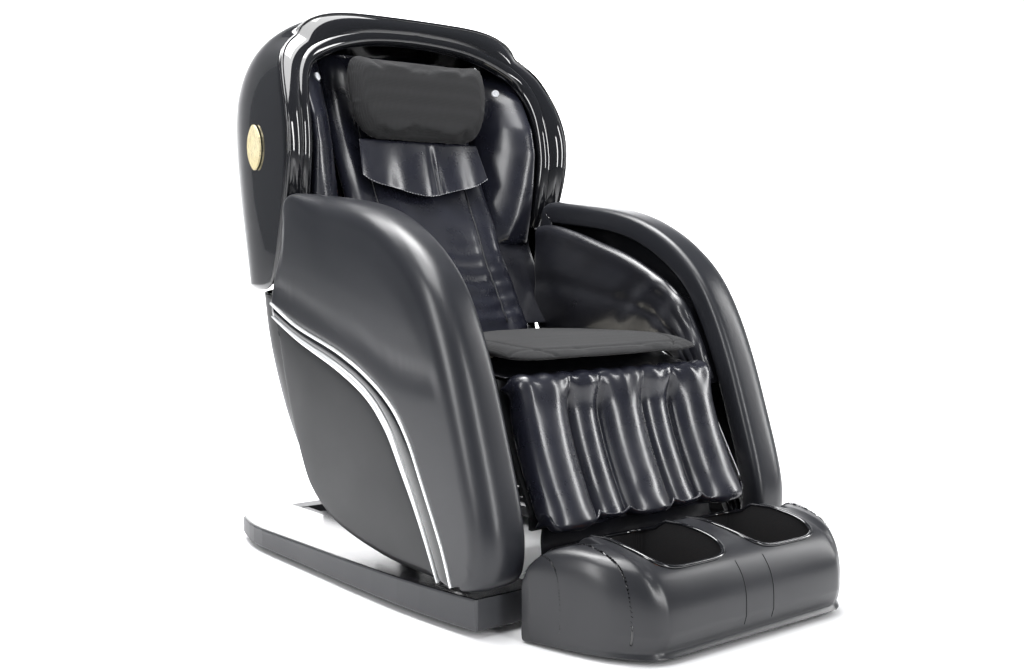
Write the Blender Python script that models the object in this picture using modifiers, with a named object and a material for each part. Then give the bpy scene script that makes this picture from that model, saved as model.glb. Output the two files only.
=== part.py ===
"""A full-body massage chair: base runners, a tilting seat chassis with two arm shells, a reclining
backrest with a hood and a roller carriage, and a leg rest with a sliding foot unit.
Metres, +Z up, the front of the chair faces -Y, x = 0 is the plane of symmetry."""

import math

import bmesh
import bpy
from mathutils import Matrix, Vector

# ---- driving dimensions -------------------------------------------------------------------------
TILT_AXIS = (0.060, 0.125)  # y, z of the shaft the whole seat rocks about
HIP_AXIS = (0.180, 0.420)  # y, z of the backrest hinge
KNEE_AXIS = (-0.272, 0.350)  # y, z of the leg rest hinge
SHAFT_RADIUS = 0.012
RUNNING_GAP = 0.0005

ARM_OUTER_X = 0.398
ARM_INNER_X = 0.300
ARM_WALL = 0.012
CROWN_ROUND = 0.030
BOLSTER_X = (0.262, 0.372)
PLATE_X = (0.2845, 0.2905)
SEAT_HALF = 0.254
BACK_PAD_HALF = 0.200
WING_X = (0.206, 0.302)
CALF_HALF = 0.253
SHELL_WALL = 0.007
SHELL_BEND = 0.44  # the lower, the squarer the shell's rear corners
ROOF_BEND = 1.15
RUNNER_FLOOR_GAP = 0.012

TRIM_UPPER_WIDTH = 0.006
TRIM_LOWER_WIDTH = 0.015
GAP = 0.0006

# y, z lines on the side of the chair
TRIM_UPPER_LINE = [(0.338, 0.553), (0.220, 0.509), (0.052, 0.468), (-0.062, 0.428), (-0.150, 0.380),
                   (-0.207, 0.322), (-0.249, 0.255), (-0.312, 0.149), (-0.342, 0.081)]
TRIM_LOWER_LINE = [(0.336, 0.523), (0.220, 0.484), (0.053, 0.440), (-0.061, 0.395), (-0.132, 0.340),
                   (-0.176, 0.281), (-0.226, 0.206), (-0.264, 0.140), (-0.296, 0.079)]
CROWN_LINE = [(0.338, 0.570), (0.322, 0.610), (0.292, 0.670), (0.284, 0.720), (0.280, 0.762),
              (0.250, 0.782), (0.180, 0.778), (0.080, 0.768), (0.000, 0.756), (-0.070, 0.737),
              (-0.140, 0.706), (-0.205, 0.664), (-0.262, 0.610), (-0.308, 0.540), (-0.350, 0.450),
              (-0.388, 0.345), (-0.424, 0.235), (-0.437, 0.165), (-0.430, 0.110), (-0.404, 0.084),
              (-0.365, 0.077)]
BOTTOM_LINE = [(-0.298, 0.079), (-0.231, 0.078), (-0.130, 0.080), (-0.056, 0.087), (0.025, 0.099),
               (0.101, 0.118), (0.176, 0.157), (0.219, 0.203), (0.271, 0.303), (0.309, 0.407),
               (0.328, 0.480)]

# z, half width, y of the front edge, y of the rear: rows of the back shell, bottom to hood rim
BACK_SHELL_ROWS = [(0.614, 0.583, 0.364, 0.392, 0.572), (0.652, 0.688, 0.372, 0.338, 0.684),
                   (0.684, 0.800, 0.380, 0.288, 0.800), (0.701, 0.920, 0.385, 0.268, 0.915),
                   (0.694, 1.015, 0.381, 0.298, 1.000), (0.640, 1.108, 0.370, 0.332, 1.055),
                   (0.560, 1.166, 0.358, 0.352, 1.092), (0.470, 1.196, 0.334, 0.372, 1.120),
                   (0.385, 1.203, 0.302, 0.384, 1.142)]
REAR_COVER_ROWS = [(0.596, 0.574, 0.340, 0.352, 0.562), (0.571, 0.478, 0.341, 0.346, 0.470),
                   (0.525, 0.388, 0.341, 0.326, 0.386), (0.467, 0.301, 0.342, 0.290, 0.300),
                   (0.410, 0.228, 0.338, 0.246, 0.224), (0.364, 0.176, 0.333, 0.206, 0.170)]

BACK_PAD_FRONT = [(0.158, 0.474), (0.205, 0.545), (0.262, 0.640), (0.312, 0.740), (0.358, 0.830),
                  (0.402, 0.920), (0.438, 1.010), (0.462, 1.090), (0.470, 1.130)]
BACK_PAD_THICK = 0.045
RAIL_LOW = (0.350, 0.560)
RAIL_HIGH = (0.580, 0.990)
CARRIAGE_AT = 0.45  # share of the rail length where the carriage stands at rest

CALF_FRONT = [(-0.353, 0.428), (-0.369, 0.375), (-0.391, 0.315), (-0.424, 0.248), (-0.455, 0.196)]
CALF_THICK = 0.072
LEG_SLOPE = Vector((0.0, -0.401, -0.916)).normalized()

# y, z of each linear drive's body pivot and of the pin that its rod works
TILT_PIVOT = (-0.220, 0.085)
TILT_PIN = (-0.130, 0.300)
RECLINE_PIVOT = (-0.130, 0.200)
RECLINE_PIN = (0.240, 0.270)
LIFT_PIVOT = (0.040, 0.240)
LIFT_PIN = (-0.242, 0.260)
RECLINE_X = 0.105
LIFT_X = -0.105
CROSS_TUBE = (-0.1176, 0.3285)
ACTUATOR_RADIUS = 0.019
ROD_RADIUS = 0.009

# ---- colours ------------------------------------------------------------------------------------
MATERIALS = {
    "satin_shell": ((0.075, 0.078, 0.085), 0.0, 0.32),
    "gloss_black": ((0.010, 0.011, 0.013), 0.0, 0.10),
    "silver_trim": ((0.80, 0.81, 0.83), 1.0, 0.22),
    "gold_badge": ((0.78, 0.70, 0.52), 1.0, 0.30),
    "navy_leather": ((0.022, 0.025, 0.045), 0.0, 0.30),
    "charcoal_fabric": ((0.062, 0.063, 0.066), 0.0, 0.85),
    "beige_fabric": ((0.62, 0.59, 0.52), 0.0, 0.90),
    "dark_plastic": ((0.020, 0.021, 0.024), 0.0, 0.45),
    "grey_plastic": ((0.20, 0.205, 0.215), 0.0, 0.40),
    "steel": ((0.36, 0.37, 0.39), 1.0, 0.38),
    "painted_steel": ((0.035, 0.036, 0.040), 0.2, 0.45),
    "roller_plastic": ((0.55, 0.20, 0.06), 0.0, 0.35),
    "motor_alloy": ((0.48, 0.49, 0.50), 1.0, 0.45),
    "rubber": ((0.015, 0.015, 0.016), 0.0, 0.80),
    "white_lamp": ((0.85, 0.86, 0.90), 0.0, 0.20),
}


def material(name):
    """The Principled material of this name."""
    made = bpy.data.materials.get(name)
    if made:
        return made
    colour, metallic, roughness = MATERIALS[name]
    made = bpy.data.materials.new(name)
    made.use_nodes = True
    shader = made.node_tree.nodes["Principled BSDF"]
    shader.inputs["Base Color"].default_value = (*colour, 1.0)
    shader.inputs["Metallic"].default_value = metallic
    shader.inputs["Roughness"].default_value = roughness
    made.diffuse_color = (*colour, 1.0)
    return made


# ---- scene --------------------------------------------------------------------------------------
def clear_scene():
    for obj in list(bpy.data.objects):
        bpy.data.objects.remove(obj, do_unlink=True)


def new_collection(name, hidden=False):
    made = bpy.data.collections.new(name)
    bpy.context.scene.collection.children.link(made)
    made.hide_render = hidden
    return made


def put_in(obj, holder):
    for other in list(obj.users_collection):
        other.objects.unlink(obj)
    holder.objects.link(obj)


def as_node(mesh, name, look, origin=(0.0, 0.0, 0.0)):
    """An object from a mesh in world coordinates, with its origin moved to where it turns."""
    mesh.name = name
    mesh.transform(Matrix.Translation(-Vector(origin)))
    made = bpy.data.objects.new(name, mesh)
    made.location = origin
    mesh.materials.clear()
    mesh.materials.append(material(look))
    CHAIR.objects.link(made)
    return made


def as_cutter(mesh, name):
    mesh.name = name
    made = bpy.data.objects.new(name, mesh)
    made.hide_render = True
    made.display_type = "WIRE"
    CUTTERS.objects.link(made)
    return made


# ---- outlines -----------------------------------------------------------------------------------
def smooth_line(points, per=2):
    """A Catmull-Rom line through the points."""
    line = []
    last = len(points) - 1
    for i in range(last):
        before = Vector(points[max(i - 1, 0)])
        start = Vector(points[i])
        end = Vector(points[i + 1])
        after = Vector(points[min(i + 2, last)])
        for step in range(per):
            t = step / per
            line.append(tuple(0.5 * (2 * start + (end - before) * t
                        + (2 * before - 5 * start + 4 * end - after) * t * t
                        + (3 * start - before - 3 * end + after) * t ** 3)))
    line.append(tuple(points[-1]))
    return line


def shifted(line, distance):
    """The line moved to its left by a distance, or by a distance given for each share of it."""
    moved = []
    last = len(line) - 1
    for i, point in enumerate(line):
        ahead = Vector(line[min(i + 1, last)]) - Vector(line[max(i - 1, 0)])
        ahead.normalize()
        by = distance(i / last) if callable(distance) else distance
        moved.append((point[0] - ahead.y * by, point[1] + ahead.x * by))
    return moved


def inset(outline, distance):
    """A closed outline pulled inwards."""
    moved = []
    count = len(outline)
    area = sum(outline[i - 1][0] * outline[i][1] - outline[i][0] * outline[i - 1][1] for i in range(count))
    turn = 1.0 if area > 0 else -1.0
    for i, point in enumerate(outline):
        ahead = Vector(outline[(i + 1) % count]) - Vector(outline[i - 1])
        ahead.normalize()
        moved.append((point[0] - turn * ahead.y * distance, point[1] + turn * ahead.x * distance))
    return moved


PLANES = {
    "X": Matrix(((0, 0, 1), (1, 0, 0), (0, 1, 0))).to_4x4(),
    "Y": Matrix(((1, 0, 0), (0, 0, 1), (0, 1, 0))).to_4x4(),
    "Z": Matrix.Identity(4),
}


def plate_mesh(outline, low, high, across="X"):
    """A flat outline given thickness along one axis. The outline's two numbers are the other axes in order."""
    curve = bpy.data.curves.new("outline", "CURVE")
    curve.dimensions = "2D"
    curve.fill_mode = "BOTH"
    curve.extrude = (high - low) / 2
    spline = curve.splines.new("POLY")
    spline.points.add(len(outline) - 1)
    for spot, point in zip(spline.points, outline):
        spot.co = (point[0], point[1], 0.0, 1.0)
    spline.use_cyclic_u = True
    holder = bpy.data.objects.new("outline", curve)
    bpy.context.scene.collection.objects.link(holder)
    bpy.context.view_layer.update()
    graph = bpy.context.evaluated_depsgraph_get()
    mesh = bpy.data.meshes.new_from_object(holder.evaluated_get(graph))
    bpy.data.objects.remove(holder, do_unlink=True)
    mesh.transform(PLANES[across] @ Matrix.Translation((0, 0, (low + high) / 2)))
    return cleaned(mesh)


def cleaned(mesh):
    """Doubled points joined, flat triangles joined, faces turned outwards."""
    work = bmesh.new()
    work.from_mesh(mesh)
    bmesh.ops.remove_doubles(work, verts=work.verts, dist=0.00002)
    bmesh.ops.dissolve_limit(work, angle_limit=0.004, verts=work.verts, edges=work.edges, delimit=set())
    bmesh.ops.recalc_face_normals(work, faces=work.faces)
    work.to_mesh(mesh)
    work.free()
    return mesh


def plate(name, outline, low, high, look, across="X", origin=(0.0, 0.0, 0.0)):
    return as_node(plate_mesh(outline, low, high, across), name, look, origin)


def block(name, low, high, look, origin=(0.0, 0.0, 0.0)):
    """A box between two corners."""
    mesh = bpy.data.meshes.new(name)
    work = bmesh.new()
    size = Vector(high) - Vector(low)
    middle = (Vector(high) + Vector(low)) / 2
    place = Matrix.Translation(middle) @ Matrix.Diagonal((*size, 1.0))
    bmesh.ops.create_cube(work, size=1.0, matrix=place)
    work.to_mesh(mesh)
    work.free()
    return as_node(mesh, name, look, origin)


def rod_mesh(start, end, radius, sides=16, end_radius=None):
    """A round bar between two points."""
    start = Vector(start)
    along = Vector(end) - start
    mesh = bpy.data.meshes.new("rod")
    work = bmesh.new()
    turn = along.to_track_quat("Z", "Y").to_matrix().to_4x4()
    place = Matrix.Translation(start + along / 2) @ turn
    bmesh.ops.create_cone(work, cap_ends=True, segments=sides, radius1=radius,
                          radius2=radius if end_radius is None else end_radius, depth=along.length,
                          matrix=place)
    work.to_mesh(mesh)
    work.free()
    return mesh


def rod(name, start, end, radius, look, sides=16, origin=(0.0, 0.0, 0.0), end_radius=None):
    return as_node(rod_mesh(start, end, radius, sides, end_radius), name, look, origin)


def bevel(obj, width, segments=2, angle=40, by_weight=False):
    made = obj.modifiers.new("Bevel", "BEVEL")
    made.width = width
    made.segments = segments
    made.limit_method = "WEIGHT" if by_weight else "ANGLE"
    made.angle_limit = math.radians(angle)
    made.harden_normals = False
    return obj


def boolean(obj, cutter, operation="DIFFERENCE"):
    made = obj.modifiers.new(operation.title(), "BOOLEAN")
    made.operation = operation
    made.solver = "EXACT"
    made.object = cutter
    return obj


def applied(obj):
    """The object with its modifiers made into its mesh."""
    bpy.context.view_layer.update()
    graph = bpy.context.evaluated_depsgraph_get()
    mesh = bpy.data.meshes.new_from_object(obj.evaluated_get(graph))
    obj.modifiers.clear()
    obj.data = mesh
    return obj


def drilled(obj, centre, radius, low, high):
    """A round hole along X through the object."""
    mesh = rod_mesh((low, *centre), (high, *centre), radius, 20)
    return boolean(obj, as_cutter(mesh, obj.name + "_hole"))


def rounded_box(name, low, high, look, width, segments=3, origin=(0.0, 0.0, 0.0)):
    return bevel(block(name, low, high, look, origin), width, segments)


def mark_rim(obj, face_x, keep):
    """Bevel weight on the edges of the face at face_x whose middle passes the keep test."""
    weights = obj.data.attributes.new("bevel_weight_edge", "FLOAT", "EDGE")
    for edge in obj.data.edges:
        ends = [obj.data.vertices[i].co for i in edge.vertices]
        on_face = all(abs(end.x - face_x) < 1e-5 for end in ends)
        middle = (ends[0] + ends[1]) / 2
        weights.data[edge.index].value = 1.0 if on_face and keep(middle) else 0.0


def shell_from_rows(name, rows, look, columns, bend, wall, levels=1):
    """A U-shaped shell: each row runs from the centre line round to the front edge, then is mirrored."""
    mesh = bpy.data.meshes.new(name)
    work = bmesh.new()
    bmesh.ops.create_grid(work, x_segments=columns, y_segments=len(rows) - 1, size=1.0)
    for vertex in work.verts:
        across = (vertex.co.x + 1) / 2
        row = round((vertex.co.y + 1) / 2 * (len(rows) - 1))
        y_rear, z_rear, x_edge, y_edge, z_edge = rows[row]
        turn = across * math.pi / 2
        out = math.sin(turn) ** bend
        back = math.cos(turn) ** bend if across < 0.999 else 0.0
        rise = math.cos(turn) ** ROOF_BEND if across < 0.999 else 0.0
        vertex.co = (x_edge * out, y_edge + (y_rear - y_edge) * back, z_edge + (z_rear - z_edge) * rise)
    bmesh.ops.recalc_face_normals(work, faces=work.faces)
    middle = sorted(work.faces, key=lambda face: face.calc_center_median().z)[len(work.faces) // 2]
    if middle.normal.y < 0:
        bmesh.ops.reverse_faces(work, faces=work.faces)
    work.to_mesh(mesh)
    work.free()
    obj = as_node(mesh, name, look)
    mirror = obj.modifiers.new("Mirror", "MIRROR")
    mirror.use_clip = True
    mirror.merge_threshold = 0.0001
    smooth = obj.modifiers.new("Subdivision", "SUBSURF")
    smooth.levels = levels
    smooth.render_levels = levels
    thick = obj.modifiers.new("Solidify", "SOLIDIFY")
    thick.thickness = wall
    thick.offset = -1.0
    thick.use_even_offset = True
    return obj


def both_sides(make):
    for side, sign in (("left", -1), ("right", 1)):
        make(side, sign)


def span(sign, low, high):
    """Low and high x of a piece, on the left or the right."""
    return (low, high) if sign > 0 else (-high, -low)


# ---- base ---------------------------------------------------------------------------------------
RUNNER_OUTER = [(0.384, -0.396), (0.397, -0.305), (0.408, -0.180), (0.413, 0.000), (0.414, 0.190),
                (0.416, 0.361), (0.407, 0.442), (0.387, 0.515)]
RUNNER_INNER = [(0.262, 0.648), (0.240, 0.640), (0.236, 0.560), (0.236, -0.396)]


def runner_top(y):
    return 0.070 - 0.022 * (y + 0.396) / 1.05


def runner(side, sign):
    outline = smooth_line(RUNNER_OUTER, 2) + RUNNER_INNER
    outline = [(sign * x, y) for x, y in outline]
    body = plate("base_runner_" + side, outline, RUNNER_FLOOR_GAP, 0.1, "grey_plastic", "Z")
    for vertex in body.data.vertices:
        if vertex.co.z > 0.05:
            vertex.co.z = runner_top(vertex.co.y)
    bevel(body, 0.004, 2)
    low, high = span(sign, 0.300, 0.340)
    rounded_box("rubber_foot_" + side, (low, -0.360, 0.0), (high, 0.480, RUNNER_FLOOR_GAP - GAP), "rubber",
                0.003, 1)


def base_frame():
    """The welded frame between the runners: four members, two tilt brackets and the tilt drive's lugs."""
    frame = block("base_frame", (-0.2352, -0.335, 0.018), (0.2352, -0.295, 0.052), "painted_steel")
    y, z = TILT_AXIS
    bracket = [(y - 0.060, 0.030), (y + 0.060, 0.030), (y + 0.024, z + 0.010), (y + 0.010, z + 0.022),
               (y - 0.010, z + 0.022), (y - 0.024, z + 0.010)]
    lug = [(-0.300, 0.024), (-0.300, 0.046), (-0.232, 0.090), (-0.222, 0.096), (-0.211, 0.090), (-0.208, 0.080),
           (-0.212, 0.068), (-0.280, 0.024)]
    rear = [(-0.2352, 0.545), (0.2352, 0.545), (0.2352, 0.590), (-0.2352, 0.590)]
    strap = [(-0.2200, 0.455), (0.2200, 0.455), (0.2200, 0.490), (-0.2200, 0.490)]
    boolean(frame, as_cutter(plate_mesh(strap, 0.022, 0.040, "Z"), "base_strap"), "UNION")
    member = [(-0.330, 0.020), (0.585, 0.020), (0.585, 0.042), (-0.330, 0.050)]
    boolean(frame, as_cutter(plate_mesh(rear, 0.016, 0.044, "Z"), "base_rear_member"), "UNION")
    for side, sign in (("left", -1), ("right", 1)):
        low, high = span(sign, 0.206, 0.2345)
        boolean(frame, as_cutter(plate_mesh(member, low, high), "base_side_member_" + side), "UNION")
        low, high = span(sign, 0.222, 0.230)
        boolean(frame, as_cutter(plate_mesh(bracket, low, high), "tilt_bracket_" + side), "UNION")
        low, high = span(sign, 0.0135, 0.0225)
        boolean(frame, as_cutter(plate_mesh(lug, low, high), "tilt_drive_lug_" + side), "UNION")
    pin = rod_mesh((-0.020, *TILT_PIVOT), (0.020, *TILT_PIVOT), 0.0079, 16)
    boolean(frame, as_cutter(pin, "tilt_drive_pin"), "UNION")
    drilled(frame, TILT_AXIS, SHAFT_RADIUS + RUNNING_GAP, -0.25, 0.25)


def control_box():
    rounded_box("control_box", (-0.170, 0.425, 0.0403), (0.170, 0.540, 0.098), "grey_plastic", 0.004, 1)


def power_switch():
    y, z = 0.5415, 0.072
    mesh = plate_mesh([(0.0, -0.011), (0.0055, -0.011), (0.0028, 0.0), (0.0055, 0.011), (0.0, 0.011)],
                      0.062, 0.078)
    mesh.transform(Matrix.Translation((0, y, z)))
    as_node(mesh, "power_rocker", "gloss_black", (0.070, y, z))


# ---- linear drives ------------------------------------------------------------------------------
def linear_drive(name, x, pivot, pin, look_x, rod_from):
    """A gearbox and tube on the pivot, and a rod that ends in an open fork at the pin."""
    start = Vector((x, *pivot))
    end = Vector((x, *pin))
    along = (end - start).normalized()
    up = Vector((1, 0, 0)).cross(along) * look_x
    length = (end - start).length
    tube_end = start + along * (length * 0.56)
    tube = rod(name + "_drive", start + along * 0.014, tube_end, ACTUATOR_RADIUS, "motor_alloy",
               16, tuple(start))
    gearbox = block(name + "_gearbox", (-0.024, -0.022, 0.016), (0.024, 0.056, 0.070), "dark_plastic")
    place = Matrix((Vector((1, 0, 0)), up, along)).transposed().to_4x4()
    place.translation = start
    gearbox.data.transform(place)
    put_in(gearbox, CUTTERS)
    gearbox.hide_render = True
    gearbox.display_type = "WIRE"
    boolean(tube, gearbox, "UNION")
    eye = as_cutter(rod_mesh((x - 0.03, *pivot), (x + 0.03, *pivot), 0.0085, 16), name + "_eye")
    ring = as_cutter(rod_mesh((x - 0.012, *pivot), (x + 0.012, *pivot), 0.017, 16), name + "_ring")
    boolean(tube, ring, "UNION")
    boolean(tube, eye)
    bore = rod_mesh(start + along * 0.0245, tube_end + along * 0.01, ROD_RADIUS + 0.0006, 16)
    boolean(tube, as_cutter(bore, name + "_bore"))
    rod_start = start + along * rod_from
    rod_end = end - along * 0.030
    bar = rod(name + "_rod", rod_start, rod_end, ROD_RADIUS, "steel", 12, tuple(rod_start))
    local = Matrix((Vector((1, 0, 0)), up, along)).transposed().to_4x4()
    local.translation = end
    for index, (low, high) in enumerate((((-0.016, -0.014, -0.034), (0.016, 0.014, -0.024)),
                                         ((-0.016, -0.012, -0.030), (-0.0105, 0.012, 0.016)),
                                         ((0.0105, -0.012, -0.030), (0.016, 0.012, 0.016)))):
        piece = block("%s_fork_%d" % (name, index), low, high, "steel")
        piece.data.transform(local)
        put_in(piece, CUTTERS)
        piece.hide_render = True
        piece.display_type = "WIRE"
        boolean(bar, piece, "UNION")
    return tube, bar


def drives():
    linear_drive("tilt", 0.0, TILT_PIVOT, TILT_PIN, 1, 0.030)
    linear_drive("recline", RECLINE_X, RECLINE_PIVOT, RECLINE_PIN, -1, 0.112)
    linear_drive("lift", LIFT_X, LIFT_PIVOT, LIFT_PIN, 1, 0.030)


# ---- seat chassis -------------------------------------------------------------------------------
SIDE_PLATE = [(-0.302, 0.374), (-0.302, 0.322), (-0.250, 0.215), (-0.140, 0.112), (-0.020, 0.096),
              (0.085, 0.102), (0.150, 0.165), (0.225, 0.262), (0.268, 0.380), (0.280, 0.470),
              (0.140, 0.468), (0.052, 0.440), (-0.050, 0.400), (-0.150, 0.374)]


def seat_frame():
    """Two side plates welded to the shafts, the cross tube and the drives' stub axles."""
    frame = plate("seat_frame", SIDE_PLATE, *PLATE_X, "painted_steel")
    other = plate_mesh(SIDE_PLATE, -PLATE_X[1], -PLATE_X[0])
    boolean(frame, as_cutter(other, "left_side_plate"), "UNION")
    reach = PLATE_X[0] + 0.003
    bars = [("tilt", TILT_AXIS, -reach, reach, SHAFT_RADIUS, 20), ("hip", HIP_AXIS, -reach, reach, SHAFT_RADIUS, 20),
            ("knee", KNEE_AXIS, -reach, reach, SHAFT_RADIUS, 20),
            ("cross_tube", CROSS_TUBE, -reach, reach, 0.0105, 12),
            ("recline_axle", RECLINE_PIVOT, 0.070, reach, 0.0079, 16),
            ("lift_axle", LIFT_PIVOT, -reach, -0.070, 0.0079, 16)]
    for name, axis, low, high, radius, sides in bars:
        boolean(frame, as_cutter(rod_mesh((low, *axis), (high, *axis), radius, sides), "frame_" + name), "UNION")
    y, z = TILT_PIN
    tongue = [(y - 0.011, z - 0.003), (y - 0.003, z - 0.011), (y + 0.009, z - 0.006), (y + 0.021, z + 0.026),
              (y + 0.003, z + 0.032)]
    boolean(frame, as_cutter(plate_mesh(tongue, -0.005, 0.005), "tilt_tongue"), "UNION")


def seat_inner():
    rounded_box("seat_pan", (-0.250, -0.178, 0.345), (0.250, 0.092, 0.354), "painted_steel", 0.002, 1)
    rounded_box("air_pump", (-0.056, -0.050, 0.268), (0.056, 0.082, 0.3444), "dark_plastic", 0.006, 1)


def cushion():
    outline = [(-0.184, 0.356), (-0.186, 0.400), (-0.180, 0.440), (-0.160, 0.453), (-0.100, 0.461),
               (0.000, 0.472), (0.080, 0.482), (0.112, 0.478), (0.120, 0.460), (0.104, 0.400), (0.092, 0.356)]
    made = plate("seat_cushion", smooth_line(outline, 2), -SEAT_HALF, SEAT_HALF, "beige_fabric")
    mark_rim(made, SEAT_HALF, lambda middle: middle.z > 0.42)
    weights = made.data.attributes["bevel_weight_edge"]
    for edge in made.data.edges:
        ends = [made.data.vertices[i].co for i in edge.vertices]
        if all(abs(end.x + SEAT_HALF) < 1e-5 for end in ends) and (ends[0].z + ends[1].z) / 2 > 0.42:
            weights.data[edge.index].value = 1.0
    bevel(made, 0.014, 2, by_weight=True)


def seat_flap():
    top = [(-0.346, 0.474), (-0.335, 0.482), (-0.250, 0.486), (-0.150, 0.487), (-0.040, 0.491), (0.020, 0.492)]
    under = [(0.020, 0.4765), (-0.040, 0.4705), (-0.150, 0.4670), (-0.250, 0.4665), (-0.338, 0.4665)]
    made = plate("seat_flap", smooth_line(top, 1) + under, -0.250, 0.250, "charcoal_fabric")
    bevel(made, 0.003, 1)


# ---- arms ---------------------------------------------------------------------------------------
def arm_shell(side, sign):
    outline = smooth_line(CROWN_LINE, 1) + list(reversed(shifted(smooth_line(TRIM_UPPER_LINE, 3), -GAP)))
    low, high = span(sign, ARM_INNER_X, ARM_OUTER_X)
    made = plate("arm_shell_" + side, outline, low, high, "satin_shell")
    trim = smooth_line(TRIM_UPPER_LINE, 4)

    def on_crown(middle):
        near = min((middle.y - y) ** 2 + (middle.z - z) ** 2 for y, z in trim)
        return near > 0.009 ** 2

    mark_rim(made, sign * ARM_OUTER_X, on_crown)
    bevel(made, CROWN_ROUND, 3, by_weight=True)
    hollow = inset(outline, ARM_WALL)
    low, high = span(sign, ARM_INNER_X - 0.01, ARM_OUTER_X - 0.018)
    boolean(made, as_cutter(plate_mesh(hollow, low, high), "arm_hollow_" + side))


BOLSTER_TOP = [(0.262, 0.722), (0.200, 0.724), (0.110, 0.705), (0.030, 0.682), (-0.050, 0.658),
               (-0.120, 0.628), (-0.190, 0.590), (-0.240, 0.545), (-0.285, 0.470), (-0.318, 0.396)]


def bolster_base():
    """The lower edge of the arm pad, above the hollow of the arm shell."""
    return shifted(smooth_line(TRIM_UPPER_LINE[:5], 2), -(ARM_WALL + 0.004))


def arm_bolster(side, sign):
    base = [point for point in bolster_base() if point[0] < 0.30]
    outline = smooth_line(BOLSTER_TOP, 2) + [(-0.328, 0.386), (-0.262, 0.388), (-0.205, 0.394)] + list(
        reversed([point for point in base if point[0] > -0.15])) + [(0.285, 0.560), (0.280, 0.640)]
    low, high = span(sign, *BOLSTER_X)
    made = plate("arm_bolster_" + side, outline, low, high, "navy_leather")
    mark_rim(made, sign * BOLSTER_X[0], lambda middle: middle.z > 0.40)
    bevel(made, 0.016, 3, by_weight=True)
    top = shifted(smooth_line(BOLSTER_TOP[1:8], 1), 0.035)
    deep = shifted(smooth_line(BOLSTER_TOP[1:8], 1), -0.060)
    groove = deep + list(reversed(top))
    low, high = span(sign, 0.296, BOLSTER_X[1] + 0.01)
    boolean(made, as_cutter(plate_mesh(groove, low, high), "arm_channel_" + side))


def trims(side, sign):
    upper = smooth_line(TRIM_UPPER_LINE, 3)
    lower = smooth_line(TRIM_LOWER_LINE, 3)

    def taper(share):
        return 0.003 + (TRIM_LOWER_WIDTH - 0.003) * math.sin(math.pi * min(max(share, 0.0), 1.0)) ** 0.8

    low, high = span(sign, 0.372, ARM_OUTER_X + 0.002)
    plate("trim_upper_" + side, upper + list(reversed(shifted(upper, TRIM_UPPER_WIDTH))), low, high, "silver_trim")
    low, high = span(sign, 0.360, ARM_OUTER_X - 0.003)
    plate("band_" + side, shifted(upper, TRIM_UPPER_WIDTH + GAP) + list(reversed(shifted(lower, -GAP))),
          low, high, "gloss_black")
    low, high = span(sign, 0.368, ARM_OUTER_X)
    plate("trim_lower_" + side, lower + list(reversed(shifted(lower, taper))), low, high, "silver_trim")
    edge = shifted(lower, lambda share: taper(share) + 3 * GAP)
    outline = edge + smooth_line(BOTTOM_LINE, 1)
    low, high = span(sign, 0.346, ARM_OUTER_X - 0.008)
    made = plate("lower_panel_" + side, outline, low, high, "grey_plastic")
    mark_rim(made, sign * (ARM_OUTER_X - 0.008), lambda middle: middle.y > 0.05 and middle.z < 0.47
             and middle.y > 0.055 + (middle.z - 0.1) * 0.35)
    bevel(made, 0.012, 2, by_weight=True)


# ---- backrest -----------------------------------------------------------------------------------
def back_shells():
    shell_from_rows("back_shell", BACK_SHELL_ROWS, "gloss_black", 8, SHELL_BEND, SHELL_WALL)
    shell_from_rows("rear_cover", REAR_COVER_ROWS, "satin_shell", 8, SHELL_BEND, SHELL_WALL)


HOOD_RIM = [(0.330, 0.312, 0.960), (0.326, 0.326, 1.005), (0.314, 0.345, 1.050), (0.290, 0.362, 1.085),
            (0.250, 0.374, 1.112), (0.190, 0.384, 1.136), (0.110, 0.390, 1.152), (0.0, 0.392, 1.158)]


HOOD_RIM_FOOT = [(0.328, 0.338, 0.722), (0.331, 0.318, 0.780), (0.333, 0.303, 0.870), (0.332, 0.304, 0.915)]


def hood_rim():
    curve = bpy.data.curves.new("hood_rim", "CURVE")
    curve.dimensions = "3D"
    curve.bevel_depth = 0.019
    curve.bevel_resolution = 2
    curve.use_fill_caps = True
    right = [Vector(point) for point in HOOD_RIM]
    left = [Vector((-point[0], point[1], point[2])) for point in reversed(HOOD_RIM[:-1])]
    low = [Vector(point) for point in HOOD_RIM_FOOT]
    whole = low + right + left + [Vector((-point.x, point.y, point.z)) for point in reversed(low)]
    spline = curve.splines.new("POLY")
    spline.points.add(len(whole) - 1)
    for spot, point in zip(spline.points, whole):
        spot.co = (*point, 1.0)
    holder = bpy.data.objects.new("rim", curve)
    bpy.context.scene.collection.objects.link(holder)
    bpy.context.view_layer.update()
    mesh = bpy.data.meshes.new_from_object(holder.evaluated_get(bpy.context.evaluated_depsgraph_get()))
    bpy.data.objects.remove(holder, do_unlink=True)
    as_node(cleaned(mesh), "hood_rim", "gloss_black")


def back_pad():
    front = smooth_line(BACK_PAD_FRONT, 1)
    rear = [(y + BACK_PAD_THICK, z - 0.012) for y, z in front]
    made = plate("back_pad", front + list(reversed(rear)), -BACK_PAD_HALF, BACK_PAD_HALF, "navy_leather")
    bevel(made, 0.014, 2)


WING_OUTLINE = [(0.452, 1.112), (0.395, 1.086), (0.345, 1.030), (0.305, 0.960), (0.290, 0.900),
                (0.298, 0.820), (0.312, 0.740), (0.326, 0.680), (0.350, 0.664), (0.382, 0.720),
                (0.430, 0.820), (0.472, 0.920), (0.500, 1.020), (0.498, 1.090)]


def wing_pad(side, sign):
    low, high = span(sign, *WING_X)
    made = plate("wing_pad_" + side, WING_OUTLINE, low, high, "navy_leather")
    bevel(made, 0.022, 2)


HEAD_HINGE = (0.388, 1.112)
PILLOW_HALF = 0.200


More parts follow.
